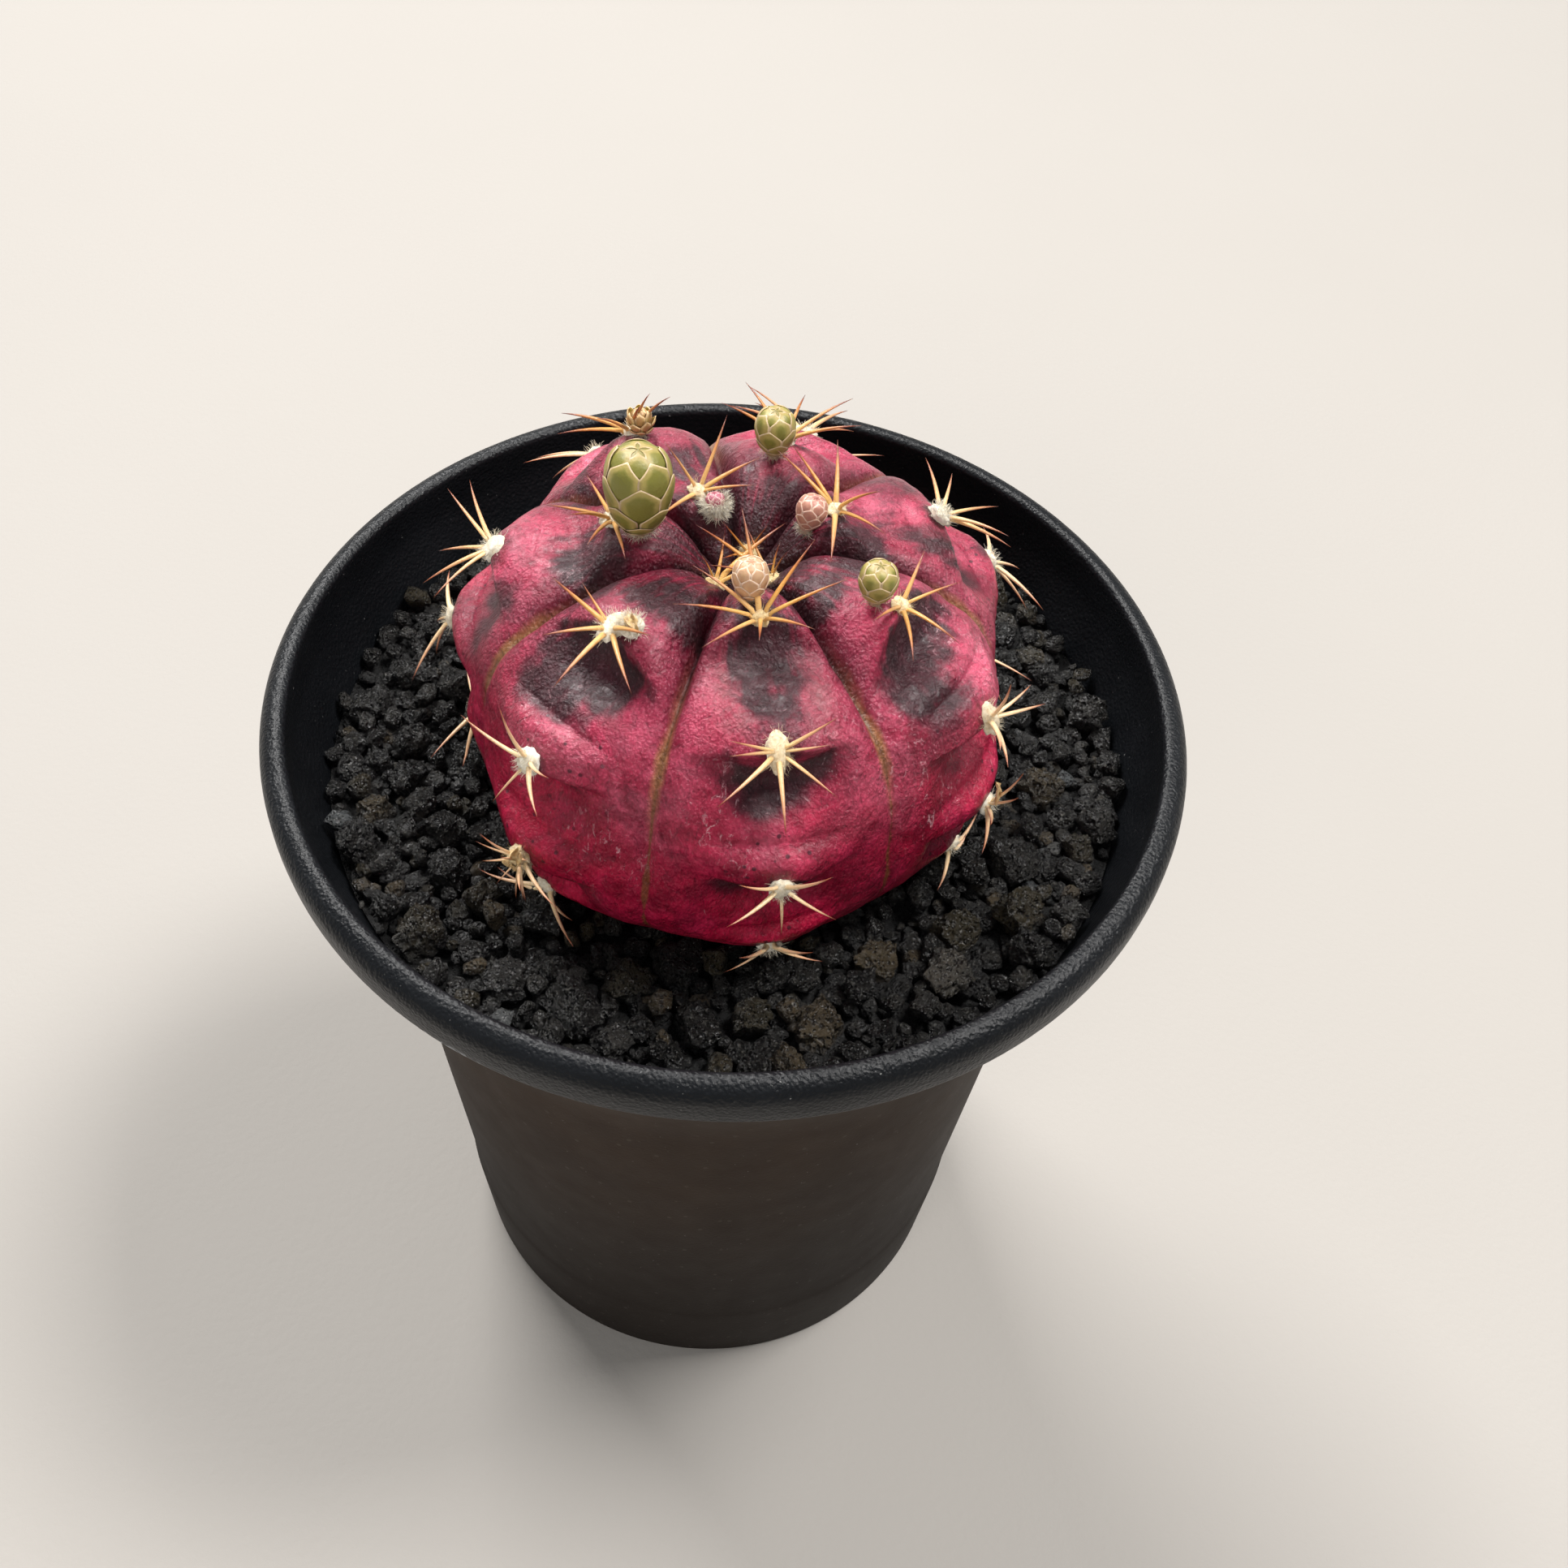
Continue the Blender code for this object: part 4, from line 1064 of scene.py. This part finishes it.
def potProfile():
    floorTop = potForm["floorLift"] + potForm["floorThick"]
    foot = potForm["footRadius"] + potForm["bandStep"]
    inner = foot - potForm["footRing"]
    band = potForm["bandHeight"]
    under = potForm["height"] - potForm["lipHeight"]
    top = potForm["height"]
    rim = potForm["rimRadius"]
    outline = [(0.0, potForm["floorLift"]), (inner - 0.5 * mm, potForm["floorLift"]),
               (inner - 0.1 * mm, 0.2 * mm), (inner + 0.1 * mm, 0.0)]
    outline += arc((foot - 0.5 * mm, 0.5 * mm), 0.5 * mm, -90, 0, 4)
    outline += [(potRadius(band) + potForm["bandStep"], band - 0.2 * mm),
                (potRadius(band + 0.8 * mm) + 0.17 * mm, band + 0.6 * mm),
                (potRadius(band + potForm["bandFade"]), band + potForm["bandFade"])]
    outline += [(potRadius(height * mm), height * mm) for height in (30, 45, 60, 66)]
    outline += [(potRadius(height * mm) + 0.03 * mm, height * mm)
                for height in (69, 72, 75, 78, 81, 84, 86.6)]
    outline += [(potForm["collarTop"], under + 0.05 * mm)]
    outline += arc((rim - 1.15 * mm, under + 1.1 * mm), 1.05 * mm, -90, -8, 6)
    outline += [(rim, under + 2.1 * mm)]
    outline += arc((rim - 2.0 * mm, top - 2.0 * mm), 2.0 * mm, 4, 84, 10)
    outline += arc((potForm["lipInner"] + 0.7 * mm, top - 0.72 * mm), 0.7 * mm, 95, 180, 5)
    outline += [(potForm["lipInner"], top - 1.5 * mm), (potForm["lipInner"] - 0.1 * mm, under + 1.4 * mm),
                (potForm["collarTop"] - potForm["wall"], under)]
    outline += [(potRadius(height * mm) - potForm["wall"], height * mm)
                for height in (84, 81, 78, 74, 70, 66, 40)]
    outline += [(potRadius(floorTop) - potForm["wall"], floorTop), (0.0, floorTop)]
    return outline


potTones = {
    "lip": ((0.0034, 0.0040, 0.0050), (0.0060, 0.0068, 0.0082)),
    "wall": ((0.0200, 0.0102, 0.0047), (0.0280, 0.0150, 0.0074)),
    "lowWall": (0.0120, 0.0080, 0.0056),
    "specks": (0.105, 0.090, 0.075),
    "dust": (0.30, 0.30, 0.29),
    "chip": (0.34, 0.36, 0.38),
    "wornLine": (0.24, 0.25, 0.26),
    "chips": (((-0.0222, -0.0388, 0.0879), 0.0042), ((0.0322, -0.0312, 0.0879), 0.0026)),
}


def potMaterial():
    kit = NodeKit("potPlastic", 0.42, 0.24, potTones)
    place = kit.node("SeparateXYZ", Vector=kit.coords)
    height = place.outputs["Z"]
    flat = kit.node("CombineXYZ", X=place.outputs["X"], Y=place.outputs["Y"])
    reach = kit.node("VectorMath")
    reach.operation = "LENGTH"
    kit.put(reach.inputs[0], flat.outputs["Vector"])
    # the collar widens by 0.44 for each unit of height, so this tells its inner side from its outer one
    inside = kit.linear(height, -0.44, reach.outputs["Value"])
    lip = kit.math("MAXIMUM", kit.spread(height, 0.0872, 0.0884), kit.spread(inside, 0.0044, 0.0038))
    cloud = kit.noise(90.0, 5.0, 0.6)
    # the wall's warm brown-black is partly the pot's own colour and partly a painted reflection of a warm
    # wooden surface beneath it
    kit.colour = kit.between(cloud, 0.3, 0.7, "wall")
    kit.tint("lowWall", kit.spread(height, 0.072, 0.012))
    kit.tint("specks", kit.spread(kit.voronoi(430.0), 0.13, 0.08), 0.22)
    kit.colour = kit.mix(lip, kit.colour, kit.between(cloud, 0.3, 0.7, "lip"))
    kit.tint("dust", kit.spread(kit.noise(2300.0, 3.0, 0.6), 0.71, 0.77), 0.6)
    for centre, size in potTones["chips"]:
        gap = kit.node("VectorMath")
        gap.operation = "DISTANCE"
        kit.put(gap.inputs[0], kit.coords)
        gap.inputs[1].default_value = centre
        kit.tint("chip", kit.spread(gap.outputs["Value"], size, size * 0.35),
                 kit.spread(height, 0.0893, 0.0885), kit.spread(kit.noise(900.0, 4.0), 0.5, 0.56), 0.8)
    # the worn mould line along the lip's lower edge
    worn = kit.math("ABSOLUTE", kit.math("SUBTRACT", height, 0.08836))
    kit.tint("wornLine", kit.spread(worn, 0.00020, 0.00008),
             kit.spread(kit.noise(560.0, 5.0, 0.7), 0.50, 0.60), kit.spread(inside, 0.0046, 0.0052), 0.6)
    rough = kit.math("ADD", kit.linear(kit.noise(240.0, 4.0), 0.16, 0.30), 0.30)
    leather = kit.math("ADD", kit.times(kit.voronoi(2900.0, "SMOOTH_F1"), 0.7),
                       kit.times(kit.noise(3600.0, 4.0), 0.6))
    leather = kit.times(leather, kit.linear(lip, 0.85, 0.15))
    uneven = kit.bump(kit.noise(75.0, 3.0), 0.0012, 0.10)
    return kit.finish(Base_Color=kit.colour, Roughness=kit.linear(lip, -0.30, rough),
                      Normal=kit.bump(leather, 0.00013, 1.0, uneven))


def makePot():
    builder = spinSolid(potProfile(), potForm["steps"])
    pot = addPiece("potShell", builder, potMaterial(), "pot_plastic", "pot")
    holes = bpy.data.collections.new("drains")
    bpy.context.scene.collection.children.link(holes)
    spots = [Vector((0, 0, 0))]
    for index in range(potForm["drains"]):
        angle = turnFull * index / potForm["drains"]
        spots.append(Vector((math.cos(angle), math.sin(angle), 0)) * potForm["drainCircle"])
    for spot in spots:
        cutter = bmesh.new()
        bmesh.ops.create_cone(cutter, cap_ends=True, segments=40, radius1=potForm["drainRadius"],
                              radius2=potForm["drainRadius"], depth=4 * potForm["floorThick"])
        hole = bpy.data.objects.new("drain", meshOf("drain", cutter))
        hole.location = spot + Vector((0, 0, potForm["floorLift"] + potForm["floorThick"] / 2))
        holes.objects.link(hole)
    bpy.context.view_layer.update()
    cut = pot.modifiers.new("drains", "BOOLEAN")
    cut.operation = "DIFFERENCE"
    cut.operand_type = "COLLECTION"
    cut.collection = holes
    graph = bpy.context.evaluated_depsgraph_get()
    drilled = bpy.data.meshes.new_from_object(pot.evaluated_get(graph))
    pot.modifiers.clear()
    pot.data = drilled
    for hole in list(holes.objects):
        bpy.data.objects.remove(hole, do_unlink=True)
    bpy.data.collections.remove(holes)
    pot.data.shade_smooth()
    pot.data.set_sharp_from_angle(angle=math.radians(48))


makePot()
print("pot made")


# grit

grit = {
    "level": 82.9 * mm,
    "sideGap": 0.25 * mm,
    "steps": 120,
    "rings": 26,
    "seed": 12,
    "hollow": 20.6 * mm,
    "hollowDepth": 6.5 * mm,
    "knownLift": 1.1 * mm,
    "large": {"count": 96, "tries": 4000, "reach": (20, 39), "size": (1.6, 3.0), "lift": (0.9, 2.3),
              "apart": 0.86, "tilt": (-0.5, 0.5), "kinds": (9, 4, 3, 0.36, 7)},
    "medium": {"count": 420, "tries": 9000, "reach": (19, 40.5), "size": (0.95, 1.8), "lift": (0.2, 2.1),
               "apart": 0.72, "tilt": (0, turnFull), "kinds": (16, 2, 8, 0.42, 6)},
    "small": {"count": 1700, "tries": 12000, "reach": (18.5, 41.0), "size": (0.45, 1.15), "lift": (-0.2, 1.0),
              "apart": 0.0, "tilt": (0, turnFull), "kinds": (14, 2, 21, 0.40, 5)},
}
# stones that stand out: place in mm, half size in mm, tone
knownStones = (
    ((24.5, -1.5), 3.3, 0.99), ((31.8, -4.0), 2.7, 0.93), ((14.6, -25.6), 2.7, 0.94),
    ((9.4, -32.5), 3.1, 0.95), ((-27.5, -24.5), 2.8, 0.9), ((-34.2, -10.5), 2.3, 0.93),
    ((-12.5, -32.0), 3.2, 0.4), ((-19.0, -29.5), 2.9, 0.5), ((22.5, -22.0), 2.9, 0.9),
    ((28.5, -13.5), 3.1, 0.5), ((-1.5, -33.5), 2.6, 0.45), ((-26.0, -17.5), 2.7, 0.35),
)


def wallInside(height):
    # inner radius of the pot between the collar's middle and the lip
    low = potRadius(potForm["collarMiddle"]) - potForm["wall"]
    high = potForm["collarTop"] - potForm["wall"]
    under = potForm["height"] - potForm["lipHeight"]
    share = (height - potForm["collarMiddle"]) / (under - potForm["collarMiddle"])
    return low + (high - low) * share


def bodyRadiusAt(height):
    # plant's radius at a height below its middle
    cosine = min(max((body["middle"] - height) / body["drop"], 0.0), 1.0) ** (1 / body["squareness"])
    return body["radius"] * math.sqrt(1 - cosine**2) ** body["squareness"]


lavaTones = {
    "black": ((0.0030, 0.0029, 0.0027), (0.0150, 0.0140, 0.0122)),
    "lighter": ((0.0110, 0.0105, 0.0096), (0.046, 0.043, 0.038)),
    "olive": ((0.018, 0.0145, 0.008), (0.052, 0.042, 0.024)),
    "brown": ((0.036, 0.026, 0.014), (0.105, 0.080, 0.048)),
    "grey": (0.070, 0.076, 0.078),
    "pitShade": (0.0016, 0.0016, 0.0016),
    "crest": (0.165, 0.158, 0.140),
    "deep": (0.0012, 0.0011, 0.0010),
}


def lavaMaterial():
    kit = NodeKit("lava", 0.5, 0.62, lavaTones)
    tone = kit.attribute("tone")
    cloud = kit.noise(520.0, 6.0, 0.65)
    kit.colour = kit.between(cloud, 0.3, 0.72, "black")
    for name, factor in (("lighter", kit.times(kit.spread(tone, 0.35, 0.85), 0.85)),
                         ("olive", kit.spread(tone, 0.80, 0.88)), ("brown", kit.spread(tone, 0.91, 0.95))):
        kit.colour = kit.mix(factor, kit.colour, kit.between(cloud, 0.3, 0.72, name))
    kit.tint("grey", kit.spread(tone, 0.975, 0.99))
    # painted shade darkening the pits of the porous stone
    hollow = kit.times(kit.spread(kit.voronoi(1150.0), 0.10, 0.40),
                       kit.spread(kit.voronoi(2500.0), 0.12, 0.45))
    kit.tint("pitShade", kit.linear(hollow, -0.85, 0.85))
    # painted glints: pale specks on the crests of the grain
    crest = kit.math("ADD", kit.spread(kit.noise(1700.0, 6.0, 0.72), 0.585, 0.65),
                     kit.spread(kit.noise(3300.0, 4.0, 0.7), 0.60, 0.67))
    crest = kit.times(crest, 0.60)
    crest.node.use_clamp = True
    kit.tint("crest", crest)
    # painted shade: darker where the grit lies lower, in the gaps between the top stones
    deep = kit.spread(kit.height(), 0.0848, 0.0829)
    kit.tint("deep", deep, 0.85)
    rough = kit.linear(kit.noise(1300.0, 4.0), 0.45, 0.08)
    crumb = kit.bump(kit.noise(1700.0, 6.0, 0.72), 0.0011, 1.0)
    return kit.finish(Base_Color=kit.colour, Roughness=kit.linear(deep, 0.5, rough),
                      Normal=kit.bump(hollow, 0.0006, 1.0, crumb))


def rockTemplates(count, level, seed, wild, cuts):
    # broken, pitted unit stones with a tone attribute
    draw = random.Random(seed)
    found = []
    for _ in range(count):
        builder = bmesh.new()
        builder.verts.layers.float.new("tone")
        bmesh.ops.create_icosphere(builder, subdivisions=level, radius=1.0)
        shift = Vector([draw.uniform(-40, 40) for _ in range(3)])
        shape = Vector((1.0, draw.uniform(0.74, 1.0), draw.uniform(0.66, 0.95)))
        planes = [(Vector([draw.gauss(0, 1) for _ in range(3)]).normalized(), draw.uniform(0.55, 0.85))
                  for _ in range(cuts)]
        for vertex in builder.verts:
            spot = vertex.co.normalized()
            size = 1 + wild * noise.noise(spot * 1.4 + shift) + 0.6 * wild * noise.noise(spot * 3.0 + shift)
            point = spot * size
            for direction, reach in planes:
                over = point.dot(direction) - reach
                if over > 0:
                    point -= direction * over * 0.85
            knob = noise.voronoi(spot * 2.6 + shift)[0][0]
            point *= 1.10 - 0.30 * knob
            if level > 2:
                point *= 1.05 - 0.16 * noise.voronoi(spot * 6.0 - shift)[0][0]
                point *= 1 + 0.10 * noise.noise(spot * 9.0 + shift)
            vertex.co = Vector((point.x * shape.x, point.y * shape.y, point.z * shape.z)) * 1.05
        found.append(meshOf("stone", builder))
    return found


def roomFor(place, size, placed, apart):
    # whether a stone clears the pot's wall, the plant and the stones placed before it
    if place.xy.length + size * 0.98 > wallInside(place.z) - 0.1 * mm:
        return False
    off = (place - body["axis"]).xy.length
    if off - size * 0.85 <= bodyRadiusAt(place.z + size * 0.5) - 0.2 * mm:
        return False
    return not apart or all((place - other).length >= apart * (size + more) for other, more in placed)


def scatterStones(builder, draw, placed, kind, known=()):
    # the known stones first, and then others at random, by the settings of their kind
    settings = grit[kind]
    stones = rockTemplates(*settings["kinds"])
    known = list(known)
    count = 0
    for _ in range(settings["tries"]):
        if count == settings["count"]:
            break
        if known:
            (x, y), size, tone = known.pop(0)
            place, size = Vector((x * mm, y * mm, grit["level"] + grit["knownLift"])), size * mm
        else:
            reach = math.sqrt(draw.uniform(*(value**2 for value in settings["reach"]))) * mm
            angle = draw.uniform(0, turnFull)
            if kind == "large":
                lift, size = (draw.uniform(*settings[key]) * mm for key in ("lift", "size"))
                tone = draw.random()
            else:
                size, lift = (draw.uniform(*settings[key]) * mm for key in ("size", "lift"))
                tone = None
            place = Vector((math.cos(angle) * reach, math.sin(angle) * reach, grit["level"] + lift))
        if not roomFor(place, size, placed, settings["apart"]):
            continue
        placed.append((place, size))
        count += 1
        turned = Matrix.Rotation(draw.uniform(0, turnFull), 4, "Z")
        turned @= Matrix.Rotation(draw.uniform(*settings["tilt"]), 4, "X")
        stamp(builder, draw.choice(stones), Matrix.Translation(place) @ turned @ Matrix.Scale(size, 4),
              {"tone": draw.random() if tone is None else tone})
    print(kind, "stones", count)


def makeGrit():
    draw = random.Random(grit["seed"])
    material = lavaMaterial()
    floorTop = potForm["floorLift"] + potForm["floorThick"] + 0.3 * mm
    side = [(potRadius(height) - potForm["wall"] - grit["sideGap"], height)
            for height in (floorTop, 40 * mm, potForm["collarStart"], potForm["collarMiddle"])]
    edge = wallInside(grit["level"]) - grit["sideGap"]
    top = [(edge * (1 - index / grit["rings"]), grit["level"]) for index in range(grit["rings"] + 1)]
    bed = spinSolid([(0.0, floorTop)] + side + top, grit["steps"])
    coarse, fine = bmesh.new(), bmesh.new()
    for builder in (bed, coarse, fine):
        builder.verts.layers.float.new("tone")
    for vertex in bed.verts:
        if vertex.co.z > grit["level"] - 0.1 * mm and vertex.co.xy.length < edge - 0.2 * mm:
            apart = (vertex.co - body["axis"]).xy.length
            spot = vertex.co * 420
            vertex.co.z += (0.8 * noise.noise(spot) + 0.4 * noise.noise(spot * 2.3)) * mm - 0.4 * mm
            if apart < grit["hollow"]:
                vertex.co.z -= grit["hollowDepth"] * (1 - (apart / grit["hollow"]) ** 2) + 0.3 * mm
    addPiece("gritBed", bed, material, "black_lava", "lava_grit")
    placed = []
    scatterStones(coarse, draw, placed, "large", knownStones)
    scatterStones(coarse, draw, placed, "medium")
    addPiece("gritStones", coarse, material, "black_lava", "lava_grit")
    scatterStones(fine, draw, placed, "small")
    addPiece("gritFines", fine, material, "black_lava", "lava_grit")


makeGrit()
print("grit made")


# buds

budSets = {
    "bud_large_green": {"at": (-95, 15), "width": 6.2, "height": 8.7, "lean": 0.1, "around": 5, "rows": 6,
                        "lift": 0.3, "look": "green", "wool": 220, "woolTone": 0.15, "crowding": 1.5},
    "bud_rear_green": {"at": (156, 19), "width": 3.9, "height": 4.6, "lean": 0.0, "around": 5, "rows": 5,
                       "lift": 0.15, "look": "green", "wool": 100, "woolTone": 0.3, "crowding": 1.25},
    "bud_right_green": {"at": (47, 26), "width": 3.5, "height": 3.9, "lean": 0.1, "around": 5, "rows": 5,
                        "lift": 0.15, "look": "green", "wool": 80, "woolTone": 0.4, "crowding": 1.25},
    "bud_front_tan": {"at": (-4, 14), "width": 3.2, "height": 4.1, "lean": 0.0, "around": 6, "rows": 6,
                      "lift": 0.15, "look": "tan", "wool": 80, "woolTone": 0.8, "crowding": 1.2},
    "bud_pink": {"at": (98, 9), "width": 2.9, "height": 3.3, "lean": -0.6, "around": 6, "rows": 6,
                 "lift": 0.1, "look": "pink", "wool": 150, "woolTone": 0.15, "crowding": 1.15},
    "bud_woolly": {"at": (200, 6.5), "width": 1.85, "height": 2.1, "lean": -0.6, "around": 5, "rows": 4,
                   "lift": 0.1, "look": "rosy", "wool": 1500, "woolTone": 0.0, "crowding": 1.2},
    "bud_dried_rear": {"at": (-155, 34), "width": 1.9, "height": 2.4, "lean": 0.4, "around": 6, "rows": 4,
                       "lift": 0.2, "look": "dried", "wool": 160, "woolTone": 0.15, "crowding": 1.1,
                       "flare": 0.24},
}
budLooks = {
    "green": {"scale": ((0.190, 0.180, 0.034), (0.40, 0.33, 0.095)),
              "margin": (0.60, 0.44, 0.28), "tip": (0.26, 0.16, 0.07)},
    "tan": {"scale": ((0.50, 0.27, 0.14), (0.62, 0.40, 0.22)),
            "margin": (0.78, 0.60, 0.44), "tip": (0.40, 0.14, 0.09)},
    "pink": {"scale": ((0.36, 0.13, 0.11), (0.50, 0.25, 0.17)),
             "margin": (0.72, 0.50, 0.38), "tip": (0.28, 0.06, 0.06)},
    "rosy": {"scale": ((0.30, 0.045, 0.085), (0.42, 0.12, 0.16)),
             "margin": (0.66, 0.40, 0.38), "tip": (0.22, 0.02, 0.05)},
    "dried": {"scale": ((0.30, 0.15, 0.05), (0.52, 0.32, 0.13)),
              "margin": (0.70, 0.50, 0.26), "tip": (0.16, 0.06, 0.025)},
}
budSlots = {"green": "green_bud", "tan": "pink_bud", "pink": "pink_bud", "rosy": "woolly_bud",
            "dried": "dried_bud"}


def budMaterial(look):
    kit = NodeKit("scales" + look.capitalize(), 0.42, 0.5, budLooks[look])
    blotch = kit.noise(900.0, 5.0, 0.6)
    rise = kit.attribute("rise")
    kit.colour = kit.between(kit.linear(blotch, -0.0006, kit.attribute("edge")), 0.0006, 0.0, "scale")
    kit.tint("tip", kit.spread(rise, 0.80, 1.0), 0.25)
    kit.tint("margin", kit.spread(rise, 0.16, 0.02), 0.75)
    edge = kit.math("ADD", kit.attribute("edge"), kit.linear(kit.noise(1800.0, 3.0), 0.00012, -0.00006))
    kit.tint("tip", kit.spread(edge, 0.0007, 0.0002), 0.3)
    kit.tint("margin", kit.spread(edge, 0.00021, 0.00007), kit.spread(rise, 0.985, 0.90), 0.85)
    return kit.finish(Base_Color=kit.colour, Roughness=kit.linear(blotch, 0.3, 0.3),
                      Normal=kit.bump(kit.noise(2600.0, 4.0), 0.0001, 0.6),
                      Subsurface_Weight=0.15, Subsurface_Radius=(0.8, 0.9, 0.3), Subsurface_Scale=0.0006)


def eggPoint(share, width, height):
    # radius and height on the bud at 0 for its foot and 1 for its apex
    angle = math.pi * (0.10 + 0.90 * share)
    level = 0.515 - 0.485 * math.cos(angle)
    return max(math.sin(angle), 0.0) ** 0.78 * (0.80 + 0.36 * level) * 0.97 * width / 2, height * level


def addScale(builder, layers, width, height, start, end, angle, half, lift):
    # one scale that hugs the egg at its foot and stands off a little at its five-sided tip
    riseLayer, edgeLayer = layers
    made = bmesh.ops.create_grid(builder, x_segments=9, y_segments=10, size=1.0)["verts"]
    for vertex in made:
        side = vertex.co.x
        up = (vertex.co.y + 1) / 2
        outline = min((max(1 - up, 0.0) / 0.42) ** 0.78, 1.0) * (0.92 + 0.08 * min(up / 0.4, 1.0))
        outline = max(outline, 0.02)
        share = min(start + (end - start) * up, 0.999)
        radius, level = eggPoint(share, width, height)
        off = lift * (0.15 + 1.0 * up**1.6) + 0.5 * lift * (1 - side**2) * math.sin(math.pi * min(up, 0.9))
        turn = angle + side * half * outline
        reach = radius + off * (1 - 0.8 * max(share - 0.8, 0.0) / 0.2)
        vertex[riseLayer] = share
        sideGap = (1 - abs(side)) * half * outline * max(radius, 0.3 * mm)
        topGap = (1 - up) * (end - start) * height * 1.2
        vertex[edgeLayer] = min(sideGap, topGap)
        level += off * max(2 * share - 1, 0) * 0.6
        vertex.co = Vector((math.cos(turn) * reach, math.sin(turn) * reach, level))
    return made


def budPlace(settings):
    turn, polar = (np.array([math.radians(value)]) for value in settings["at"])
    points, normals = skinPoint(turn, polar, fine=False)
    normal = Vector(normals[0])
    axis = Vector((0, 0, 1)).lerp(normal, settings["lean"]).normalized()
    matrix = axis.to_track_quat("Z", "Y").to_matrix().to_4x4()
    matrix.translation = Vector(points[0]) + axis * settings["lift"] * mm
    return matrix


def budCore(width, height):
    profile = [(0.0, -0.6 * mm)]
    for index in range(13):
        radius, level = eggPoint(index / 13, width, height)
        profile.append((radius * (0.97 + 0.03 * (index / 13) ** 4), level - (0.6 * mm if index == 0 else 0)))
    builder = spinSolid(profile + [(0.0, height * 1.004)], 20)
    layers = [builder.verts.layers.float.new(key) for key in ("rise", "edge")]
    for vertex in builder.verts:
        vertex[layers[0]] = min(max(vertex.co.z / height, 0.0), 1.0)
        vertex[layers[1]] = 1 * mm
    return builder


def addBudWool(name, settings, strands, place, draw):
    width, height = settings["width"] * mm, settings["height"] * mm
    tall = settings["look"] == "rosy"
    wool = bmesh.new()
    wool.verts.layers.float.new("tone")
    for _ in range(settings["wool"]):
        angle = draw.uniform(0, turnFull)
        share = draw.uniform(0.0, 0.55 if tall else 0.09)
        radius, level = eggPoint(share, width, height)
        outward = Vector((math.cos(angle), math.sin(angle), draw.uniform(-0.2, 0.75) if tall else -0.1))
        spot = Vector((math.cos(angle) * radius, math.sin(angle) * radius, level - (0 if tall else 0.3 * mm)))
        scale = draw.uniform(0.6, 1.2) * (1.15 if tall else 0.8)
        roll = draw.uniform(0, turnFull)
        addStrand(wool, draw.choice(strands), place, spot, outward, roll, scale,
                  settings["woolTone"] + draw.uniform(-0.2, 0.2))
    addPiece(name + "_wool", wool, bpy.data.materials["wool"], budSlots[settings["look"]], name)


def makeBud(name, settings, strands):
    draw = random.Random(name)
    width, height = settings["width"] * mm * 0.93, settings["height"] * mm
    builder = budCore(width, height)
    scales = bmesh.new()
    layers = [scales.verts.layers.float.new(key) for key in ("rise", "edge")]
    rows = settings["rows"]
    crowding = settings["crowding"]
    flare = settings.get("flare", 0.036)
    count = settings["around"]
    for row in range(rows):
        start = (row / rows) ** crowding
        end = ((row + 1.5) / rows) ** crowding
        last = row == rows - 1
        for index in range(count):
            angle = turnFull * (index + 0.5 * (row % 2) + draw.uniform(-0.05, 0.05)) / count
            half = turnFull / count / 2 * (1.3 if last else 1.03)
            reach = end + draw.uniform(-0.025, 0.02)
            addScale(scales, layers, width, height, max(start - 0.03, 0.0), min(reach, 1.0), angle, half,
                     width * flare * draw.uniform(0.8, 1.2) * (0.35 if last else 1.0))
    bmesh.ops.recalc_face_normals(scales, faces=scales.faces)
    bmesh.ops.solidify(scales, geom=scales.faces[:], thickness=0.05 * mm)
    builder.from_mesh(meshOf("scalesPart", scales))
    place = budPlace(settings)
    bmesh.ops.transform(builder, matrix=place, verts=builder.verts)
    addPiece(name + "_scales", builder, budMaterial(settings["look"]), budSlots[settings["look"]], name)
    addBudWool(name, settings, strands, place, draw)


budStrands = hairTemplates(seed=17, count=8, length=1.05 * mm, radius=0.017 * mm, curl=0.6)
for budName, budSettings in budSets.items():
    makeBud(budName, budSettings, budStrands)
print("buds made")
